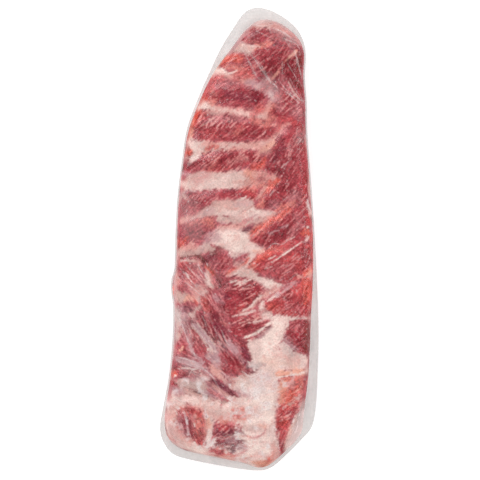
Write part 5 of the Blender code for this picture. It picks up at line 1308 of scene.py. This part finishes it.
# Rib slab, bone side
# The lower half of the same slab: flat rib backs under a thin skin, with shallow hollows between
# them. It lies on the film and joins the face along the slab's edge.
UNDER_STEP = 3.0
UNDERSIDE_GROOVE_DEPTH = 1.4
UNDERSIDE_GROOVE_HALF_WIDTH = 5.0
UNDERSIDE_BORDER = 16.0
FILM_UNDER_SLAB = 0.35
UNDER_RINGS = (1.0, 2.2, 4.5)
BONE_SKIN = (224, 178, 168)
BETWEEN_RIBS = (172, 84, 84)
HOLLOW_TINT_FADES = (4.0, 9.0)
SIDE_TINT_FADES = (2.0, 7.0)


def hollow_middle(number, x):
    """Where the middle of the hollow after a rib lies."""
    return FIRST_RIB_Y - (number + 0.5) * RIB_PITCH + rib_slope(number + 0.5) * x


def pack_underside(points, depth):
    """Height of the lower side of the pack."""
    x, y = points.T
    lift = rim_height(points, depth) - FILM_RIM_THICKNESS / 2
    lift = lift * (1.0 - quarter_round(depth, BOTTOM_ROUNDING))
    for number in range(RIB_COUNT - 1):
        away = np.abs(y - hollow_middle(number, x))
        groove = 1.0 - smooth_step(away, 0.0, UNDERSIDE_GROOVE_HALF_WIDTH)
        border = smooth_step(depth, UNDERSIDE_BORDER * 0.6, UNDERSIDE_BORDER)
        lift = lift + UNDERSIDE_GROOVE_DEPTH * groove * border
    return lift


under_rings = [slab_skin] + [inset_loop(slab_loop, d) for d in UNDER_RINGS]
under_grid = inner_points(under_rings[-1], UNDER_STEP, UNDER_STEP * 0.6)
under_xy, under_tris, under_ring = triangulate(under_rings, under_grid)
under_depth = depth_inside(under_xy, slab_loop)
under_z = pack_underside(under_xy, under_depth) + FILM_UNDER_SLAB
face_edge = {tuple(np.round(face_xy[i], 4)): face_z[i] for i in face_ring}
for i in under_ring:
    under_z[i] = face_edge.get(tuple(np.round(under_xy[i], 4)), under_z[i])
hollow = np.zeros(len(under_xy))
for number in range(RIB_COUNT - 1):
    away = np.abs(under_xy[:, 1] - hollow_middle(number, under_xy[:, 0]))
    hollow = np.maximum(hollow, 1.0 - smooth_step(away, *HOLLOW_TINT_FADES))
bone_skin = to_linear(BONE_SKIN)
under_tissue = bone_skin + (to_linear(BETWEEN_RIBS) - bone_skin) * hollow[:, None]
side_tissue = from_map(colour_map, under_xy)
near_edge = 1.0 - smooth_step(under_depth, *SIDE_TINT_FADES)
under_tissue += (side_tissue - under_tissue) * near_edge[:, None]
under_fields = {"tissue": under_tissue / LIGHT_ON_MEAT, "lean": hollow}
make_piece("rib_slab_bone_side", placed(under_xy, under_z), under_tris[:, ::-1], meat,
           under_fields)

# Film bag
# Clear shrink film drawn tight over the slab by vacuum. Both sheets are sealed together in a rim
# round the slab. It creases in fine lines where it bridges folds, which are painted white, partly
# as doubled film and partly as painted highlights.
FILM_STEP = 0.72
CREASE_HEIGHT = 0.3
VEIL = 0.015
RIM_VEIL = 0.55
FILM_TINT = (246, 224, 222)
RIM_TINT = (188, 178, 174)
OUTLINE_WIDTH = 0.45
OUTLINE_SHADE = 0.72
OUTLINE_FADE = 2.0 * OUTLINE_WIDTH
CONTACT_SHADE = 0.93
CONTACT_WIDTH = (0.6, 3.0)
TOP_RINGS = (0.5, 1.2, 2.4)
LOW_RINGS = (1.0, 2.4)
LOW_STEP = 3.0
FILM_SINK = 0.12
DETAIL_THROUGH_FILM = 0.35

# Crease lines: strength of the white line, in part a painted highlight, then a chain of places
# with half widths
CREASES = (
    (0.42, (2,151,0.2, 9,139,0.4, 13,131,0.3)),
    (0.45, (8,149,0.2, 14,140,0.4, 20,131,0.4, 25,124,0.3)),
    (0.32, (0,153,0.1, 4,148,0.3, 11,133,0.3, 16,127,0.2)),
    (0.30, (10,148,0.2, 19,135,0.3, 23,128,0.2)), (0.40, (8,163,0.2, 20,169,0.3)),
    (0.32, (12,167,0.2, 26,160,0.3)), (0.32, (6,160,0.2, 16,165,0.2)),
    (0.40, (30,162,0.2, 40,158,0.3, 48,155,0.2)), (0.35, (34,165,0.2, 46,157,0.3)),
    (0.40, (44,165,0.2, 48,157,0.3, 52,151,0.2)), (0.30, (36,160,0.2, 40,153,0.3)),
    (0.32, (23,172,0.2, 25,164,0.3)), (0.45, (31,127,0.2, 36,120,0.3, 44,114,0.3, 52,109,0.2)),
    (0.60, (33,120,0.2, 41,114,0.3, 47,108.5,0.2)), (0.35, (40,128,0.2, 45,118,0.3, 51,111,0.2)),
    (0.30, (34,141,0.2, 34,131,0.3)), (0.35, (51,162,0.2, 53,150,0.2)),
    (0.50, (33,57,0.3, 37,60,0.4, 41,64,0.2)), (0.30, (23,55,0.3, 28,62,0.3)),
    (0.45, (24,35,0.2, 28,38.5,0.4, 31,37,0.2)), (0.35, (35,31,0.3, 38,34,0.3)),
    (0.45, (23,-6,0.2, 28,-3,0.4, 33,-4,0.3, 38,-1,0.3)), (0.40, (42,-14,0.3, 46,-10,0.3)),
    (0.35, (44,-17,0.2, 51,-13,0.3)), (0.35, (54,-8,0.2, 52,-18,0.2)),
    (0.30, (57,-8,0.2, 55,-18,0.2)), (0.40, (20,-46,0.2, 32,-38,0.3, 44,-33,0.2)),
    (0.35, (26,-48,0.2, 42,-37,0.3)), (0.45, (34,-80,0.3, 38,-84,0.5, 45,-88,0.3)),
    (0.30, (37,-77,0.2, 43,-82,0.3)), (0.50, (-33,-15,0.2, -32,-22,0.4, -27,-29,0.3, -22,-37,0.2)),
    (0.45, (-48,-22,0.2, -40,-31,0.3, -30,-42,0.2)),
    (0.40, (-49,-30,0.2, -40,-36,0.3, -30,-44,0.2)),
    (0.40, (-44,-18,0.2, -36,-27,0.3, -27,-33,0.2)), (0.60, (-43,-26,0.3, -41,-28,0.5)),
    (0.65, (-28,-26,0.3, -26,-30,0.5)), (0.40, (-35,-36,0.2, -31,-37,0.4)),
    (0.25, (-38,-66,0.4, -30,-76,0.9, -22,-86,0.5)),
    (0.20, (-34,-65,0.3, -26,-76,0.6, -18,-88,0.4)),
    (0.20, (-25,-58,0.2, -20,-70,0.4, -12,-84,0.3, -6,-94,0.2)),
    (0.40, (-50,-56,0.3, -43,-74,0.4, -34,-94,0.3)),
    (0.40, (-47,-60,0.2, -41,-80,0.4, -36,-94,0.2)), (0.50, (-9,-72,0.3, -6,-73,0.3)),
    (0.60, (-8,-66,0.5)), (0.35, (-50,-96,0.2, -40,-99,0.3, -30,-103,0.2)),
    (0.35, (-38,-94,0.2, -28,-102,0.3, -18,-110,0.2)),
    (0.35, (-21,-109,0.2, -17,-116,0.4, -15,-122,0.2)),
    (0.40, (-45,-136,0.2, -42,-144,0.3, -40,-156,0.2)),
    (0.40, (-20,-156,0.2, -12,-158,0.3, -4,-155,0.2)),
    (0.40, (-6,-174,0.2, 2,-171,0.3, 8,-168,0.2)), (0.40, (30,-158,0.2, 31,-164,0.3, 32,-170,0.2)),
    (0.55, (54,32,0.3, 55,26,0.8, 57,22,0.5)), (0.60, (2,-104,0.2, 8,-108,0.5, 16,-106,0.3)),
    (0.50, (-8,-111,0.2, 0,-110,0.5, 6,-113,0.3)), (0.50, (6,-116,0.2, 10,-121,0.5, 8,-127,0.3)),
    (0.45, (14,-118,0.2, 20,-114,0.4, 26,-112,0.2)), (0.50, (-6,-128,0.2, 2,-130,0.5, 10,-128,0.3)),
    (0.45, (8,-134,0.3, 14,-139,0.5, 20,-140,0.3)),
    (0.50, (-52,-126,0.2, -44,-128,0.5, -36,-126,0.2)),
    (0.50, (2,-160,0.3, 8,-163,0.6, 14,-161,0.3)), (0.55, (0,-164,0.3, 6,-166,0.5, 10,-165,0.3)),
    (0.45, (-30,-164,0.3, -26,-158,0.5, -24,-150,0.2)),
    (0.30, (-44,-60,0.2, -40,-70,0.4, -37,-84,0.3)),
    (0.60, (-50,-93,0.3, -44,-94,0.5, -36,-97,0.3)),
    (0.55, (-48,-103,0.2, -42,-102,0.4, -36,-103,0.2)),
    (0.55, (-33,-100,0.3, -26,-104,0.5, -20,-110,0.3)),
    (0.50, (-14,-72,0.2, -12,-78,0.4, -8,-84,0.2)), (0.30, (-30,-60,0.2, -27,-66,0.4, -26,-72,0.2)),
    (0.45, (10,172,0.2, 18,170,0.4, 26,172,0.2)), (0.45, (26,168,0.2, 34,166,0.4, 42,160,0.2)),
    (0.45, (44,150,0.2, 47,138,0.4, 50,128,0.2)), (0.40, (38,140,0.2, 44,130,0.3, 50,122,0.2)),
)

# How the fine pleats lie: place and angle in degrees, then where they show and how strongly
PLEAT_LIE = (
    (10, 140, -54), (22, 127, -50), (42, 115, -42), (40, 160, -28), (14, 168, 30), (50, 150, -70),
    (-38, -25, -58), (-30, -38, -50), (-44, -38, -40), (-36, -75, -58), (-22, -84, -55),
    (-8, -78, -58), (-48, -84, -70), (-42, -98, -14), (-30, -106, -24), (-20, -116, -42),
    (-42, -145, -72), (-10, -158, 20), (2, -172, 22), (52, -15, 78), (55, 30, 85), (32, -40, 35),
    (30, 60, 50), (46, -86, -35), (52, -134, 74), (46, -12, 20), (-40, 10, 60), (-5, 50, 15),
    (20, -100, 30), (30, 15, 38),
)
PLEATED = (
    (0.45, (4,148,3, 14,136,4, 24,124,4)), (0.50, (30,126,4, 40,116,5, 50,108,4)),
    (0.45, (30,166,5, 40,160,6, 48,152,5)), (0.35, (10,170,5, 22,172,5)),
    (0.35, (-44,-22,7, -36,-30,9, -30,-42,7)), (0.20, (-46,-60,6, -38,-76,9, -28,-90,8)),
    (0.10, (-26,-62,5, -18,-78,7, -10,-92,5)), (0.30, (-46,-97,6, -36,-102,7, -26,-106,5)),
    (0.45, (-24,-110,4, -14,-120,5, -4,-124,4)), (0.15, (-44,-146,7)),
    (0.35, (-12,-160,7, 2,-170,7)), (0.40, (53,0,3, 54,-30,3)), (0.35, (52,60,4, 55,30,3)),
    (0.30, (30,-42,6, 42,-34,5)), (0.25, (28,58,8, 44,66,8)), (0.35, (38,-82,4, 46,-88,4)),
    (0.40, (50,-132,4, 46,-150,5)),
)

# Areas with a milky veil, in places painted highlights on the film: strength, softness, then a
# chain of places with half widths
MILKY = (
    (0.40, 4, (-10,150,1.2, -5,158,2.2, 1,165,2.4, 7,171,2, 14,175,1.8)),
    (0.30, 4, (22,175,1.8, 33,171,1.8, 42,164,1.4, 48,156,0.8)),
    (0.45, 2.5, (2,167,0.6, 10,173,1.4, 22,176,1.6, 32,173,1.2, 42,166,0.6)),
    (0.30, 5, (12,172,2, 22,174,2.5)), (0.18, 8, (30,168,4, 42,160,5)),
    (0.18, 6, (22,124,5, 30,114,4)), (0.04, 8, (-40,-24,8, -34,-38,8)),
    (0.05, 8, (-40,-58,6, -34,-76,8, -18,-84,6)), (0.10, 8, (-42,30,8, -36,6,8)),
    (0.30, 3, (-50.5,20,1, -51,-5,1.2, -52,-60,1.6, -54,-95,1.4)),
    (0.16, 8, (-40,-100,6, -30,-110,6)), (0.14, 8, (-4,-165,6)),
    (0.40, 4, (50,-138,2, 47,-152,4, 40,-163,3)), (0.08, 8, (50,82,6)),
    (0.20, 6, (-56,-150,4, -50,-164,4)),
)


def film_material():
    """Clear glossy film: see-through, faintly milky, whiter along creases and at the rim."""
    material = bpy.data.materials.new("clear_film")
    material.use_nodes = True
    nodes, links = material.node_tree.nodes, material.node_tree.links
    nodes.remove(nodes["Principled BSDF"])
    output = nodes["Material Output"]
    veil = nodes.new("ShaderNodeAttribute")
    veil.attribute_name = "veil"
    clear = nodes.new("ShaderNodeBsdfTransparent")
    milky = nodes.new("ShaderNodeBsdfDiffuse")
    tint = nodes.new("ShaderNodeAttribute")
    tint.attribute_name = "tint"
    links.new(tint.outputs["Vector"], milky.inputs["Color"])
    body = nodes.new("ShaderNodeMixShader")
    links.new(veil.outputs["Fac"], body.inputs[0])
    links.new(clear.outputs[0], body.inputs[1])
    links.new(milky.outputs[0], body.inputs[2])
    coords = nodes.new("ShaderNodeTexCoord")
    ripple = nodes.new("ShaderNodeTexNoise")
    ripple.inputs["Scale"].default_value = 300.0
    ripple.inputs["Detail"].default_value = 2.0
    links.new(coords.outputs["Object"], ripple.inputs["Vector"])
    bump = nodes.new("ShaderNodeBump")
    bump.inputs["Strength"].default_value = 0.4
    bump.inputs["Distance"].default_value = 0.0003
    links.new(ripple.outputs["Fac"], bump.inputs["Height"])
    gloss = nodes.new("ShaderNodeBsdfGlossy")
    gloss.inputs["Roughness"].default_value = 0.16
    links.new(bump.outputs["Normal"], gloss.inputs["Normal"])
    facing = nodes.new("ShaderNodeLayerWeight")
    facing.inputs["Blend"].default_value = 0.5
    links.new(bump.outputs["Normal"], facing.inputs["Normal"])
    steep = nodes.new("ShaderNodeMath")
    steep.operation = "POWER"
    steep.inputs[1].default_value = 5.0
    links.new(facing.outputs["Facing"], steep.inputs[0])
    mirror_part = nodes.new("ShaderNodeMapRange")
    mirror_part.inputs["To Min"].default_value = 0.025
    mirror_part.inputs["To Max"].default_value = 0.1
    links.new(steep.outputs[0], mirror_part.inputs["Value"])
    skin = nodes.new("ShaderNodeMixShader")
    links.new(mirror_part.outputs["Result"], skin.inputs[0])
    links.new(body.outputs[0], skin.inputs[1])
    links.new(gloss.outputs[0], skin.inputs[2])
    links.new(skin.outputs[0], output.inputs["Surface"])
    return material


CREASE_SHARE = 0.9
PLEAT_SPACING = 0.6
PLEAT_LENGTH = 11.0
PLEAT_SHARE = 0.85
SPARKLE_SHARE = 0.32
RIM_STREAK_LENGTH = 9.0
RIM_STREAK_TONE = 0.07

# Creases and pleats whiten the film: partly doubled film, partly painted highlights
crease_map = np.zeros(wide_x.shape)
for strength, chain in CREASES:
    area = window(chain, 2.5)
    depth = stroke_depth(chain, wide_x[area], wide_y[area]) + 0.2 * edge_noise[area] - 0.15
    crease_map[area] = np.maximum(crease_map[area], strength * smooth_step(depth, -0.5, 0.3))
milk_map = np.zeros(wide_x.shape)
for strength, soft, chain in MILKY:
    area = window(chain, soft)
    cover = smooth_step(stroke_depth(chain, wide_x[area], wide_y[area]), -soft / 2, soft / 2)
    milk_map[area] = np.maximum(milk_map[area], strength * cover)
pleat_angles = grain_angles(PLEAT_LIE)
pleats = smooth_step(combed(speckle(PLEAT_SPACING, 32), pleat_angles, PLEAT_LENGTH), 0.9, 2.4)
crease_map = np.maximum(crease_map, strongest(0.0, PLEATED) * PLEAT_SHARE * pleats)

# Painted highlights: bright specks where the film touches wet muscle, and short glints along the
# pleats
sparkle = smooth_step(0.8 * speckle(0.7, 31) + 0.5 * fine_fibres, 1.4, 2.5) * (0.4 + 0.6 * lean)
sparkle += 1.6 * smooth_step(combed(speckle(0.6, 36), pleat_angles, 4.0), 2.1, 3.2)

# Streaks along the rim, which runs round a line through the middle of the pack
past_end = wide_y - np.clip(wide_y, -150.0, 150.0)
round_rim = np.arctan2(past_end, wide_x - 10.0) + np.pi / 2
rim_streaks = 0.6 * combed(speckle(0.8, 33), round_rim, RIM_STREAK_LENGTH)
rim_streaks += 0.5 * speckle(2.5, 34) + 0.4 * speckle(7.0, 35)

top_lines = [film_loop, inset_loop(film_loop, OUTLINE_WIDTH), slab_loop]
top_lines += [inset_loop(slab_loop, d) for d in TOP_RINGS]
top_grid = inner_points(film_loop, FILM_STEP, FILM_STEP * 0.6)
film_top_xy, film_top_tris, film_top_ring = triangulate(top_lines, top_grid)
top_depth = depth_inside(film_top_xy, slab_loop)
film_top_z = pack_top(film_top_xy, top_depth)
over_slab = smooth_step(top_depth, 0.5, 4.0)
crease_at = from_map(crease_map, film_top_xy)
film_top_z += CREASE_HEIGHT * crease_at * over_slab - FILM_SINK
film_top_z += DETAIL_THROUGH_FILM * from_map(detail, film_top_xy) * over_slab
veil_at = VEIL + from_map(milk_map, film_top_xy) + CREASE_SHARE * crease_at
veil_at += SPARKLE_SHARE * from_map(sparkle, film_top_xy)
above_rim = film_top_z - rim_height(film_top_xy, top_depth)
on_rim = smooth_step(-top_depth, -1.0, -0.2) * (1.0 - smooth_step(above_rim, 1.5, 3.5))
veil_at = np.clip(veil_at * (1 - on_rim) + RIM_VEIL * on_rim, 0.0, 0.9)


def film_tint(points, rim_part, slab_depth):
    """Colour of the milky film: grey on the rim, darker at its outline, and with painted shade
    beside the slab.
    """
    streaks = 1.0 + RIM_STREAK_TONE * from_map(rim_streaks, points)
    from_outline = smooth_step(depth_inside(points, film_loop), 0.0, OUTLINE_FADE)
    outline = OUTLINE_SHADE + (1.0 - OUTLINE_SHADE) * from_outline
    contact = CONTACT_SHADE + (1.0 - CONTACT_SHADE) * smooth_step(-slab_depth, *CONTACT_WIDTH)
    grey = np.clip(streaks * outline * contact, 0.3, 1.25)[:, None] * to_linear(RIM_TINT)
    return grey * rim_part[:, None] + to_linear(FILM_TINT) * (1.0 - rim_part[:, None])


low_lines = [film_loop, slab_loop] + [inset_loop(slab_loop, d) for d in LOW_RINGS]
low_grid = inner_points(low_lines[-1], LOW_STEP, LOW_STEP * 0.6)
film_low_xy, film_low_tris, film_low_ring = triangulate(low_lines, low_grid)
low_depth = depth_inside(film_low_xy, slab_loop)
film_low_z = pack_underside(film_low_xy, low_depth)
# A band of faces round the outline joins the upper and the lower sheet
lower_ring = [len(film_top_xy) + i for i in film_low_ring]
band = []
for i in range(len(film_loop)):
    after = (i + 1) % len(film_loop)
    band.append((film_top_ring[after], film_top_ring[i], lower_ring[i], lower_ring[after]))
film_points = np.vstack([placed(film_top_xy, film_top_z), placed(film_low_xy, film_low_z)])
film_faces = list(film_top_tris) + [f[::-1] + len(film_top_xy) for f in film_low_tris] + band
film_veil = np.concatenate([veil_at, np.full(len(film_low_xy), VEIL)])
low_rim = 1.0 - smooth_step(low_depth, -1.0, 2.0)
film_tints = np.vstack([film_tint(film_top_xy, on_rim, top_depth),
                        film_tint(film_low_xy, low_rim, low_depth)])
film_fields = {"veil": film_veil, "tint": film_tints}
make_piece("film_bag", film_points, film_faces, film_material(), film_fields)

# Surface, light and camera
# A plain white surface under soft light from all round, with the camera straight above.
CAMERA_HEIGHT = 1.55
PICTURE_PIXELS = 480
PIXEL = 0.8 * MM
MIDDLE_HEIGHT = 0.012
SENSOR = 36.0
SURFACE_REACH = 3.0
SURFACE_DROP = 0.0002

corner_signs = ((-1, -1), (1, -1), (1, 1), (-1, 1))
surface_corners = [(x * SURFACE_REACH, y * SURFACE_REACH, 0.0) for x, y in corner_signs]
surface_mesh = bpy.data.meshes.new("surface")
surface_mesh.from_pydata(surface_corners, [], [(0, 1, 2, 3)])
surface_material = bpy.data.materials.new("white_surface")
surface_material.use_nodes = True
surface_shader = surface_material.node_tree.nodes["Principled BSDF"]
surface_shader.inputs["Base Color"].default_value = (0.6, 0.6, 0.6, 1.0)
surface_shader.inputs["Roughness"].default_value = 0.7
surface_shader.inputs["Specular IOR Level"].default_value = 0.1
surface_shader.inputs["Emission Color"].default_value = (1.0, 1.0, 1.0, 1.0)
surface_shader.inputs["Emission Strength"].default_value = 0.62
surface_mesh.materials.append(surface_material)
surface = bpy.data.objects.new("surface", surface_mesh)
surface.location.z = -SURFACE_DROP
bpy.context.scene.collection.objects.link(surface)


def soft_light(name, place, size, power):
    """A square soft light aimed at the middle of the pack."""
    data = bpy.data.lights.new(name, "AREA")
    data.shape = "SQUARE"
    data.size = size
    data.energy = power
    lamp = bpy.data.objects.new(name, data)
    lamp.location = place
    lamp.rotation_euler = (Vector(place) * -1.0).to_track_quat("-Z", "Y").to_euler()
    bpy.context.scene.collection.objects.link(lamp)


soft_light("key_light", place=(-1.3, 1.3, 1.5), size=1.6, power=21.0)
soft_light("side_light", place=(1.5, 0.2, 1.1), size=1.2, power=7.5)

# The room is bright all round and darker straight overhead, so the film mirrors little of it
world = bpy.data.worlds.new("studio")
world.use_nodes = True
room, room_links = world.node_tree.nodes, world.node_tree.links
direction = room.new("ShaderNodeTexCoord")
parts = room.new("ShaderNodeSeparateXYZ")
room_links.new(direction.outputs["Generated"], parts.inputs[0])
dome = room.new("ShaderNodeMapRange")
dome.inputs["From Min"].default_value = 0.55
dome.inputs["From Max"].default_value = 0.97
dome.inputs["To Min"].default_value = 1.05
dome.inputs["To Max"].default_value = 0.24
room_links.new(parts.outputs["Z"], dome.inputs["Value"])
room["Background"].inputs["Color"].default_value = (1.0, 1.0, 1.0, 1.0)
room_links.new(dome.outputs["Result"], room["Background"].inputs["Strength"])
bpy.context.scene.world = world
bpy.context.scene.view_settings.view_transform = "Standard"

camera_data = bpy.data.cameras.new("camera")
camera_data.sensor_width = SENSOR
camera_data.lens = SENSOR * (CAMERA_HEIGHT - MIDDLE_HEIGHT) / (PICTURE_PIXELS * PIXEL)
camera = bpy.data.objects.new("camera", camera_data)
camera_x, camera_y = -pack_middle * MM + (0.5 * PIXEL, -0.5 * PIXEL)
camera.location = (camera_x, camera_y, CAMERA_HEIGHT)
bpy.context.scene.collection.objects.link(camera)
bpy.context.scene.camera = camera
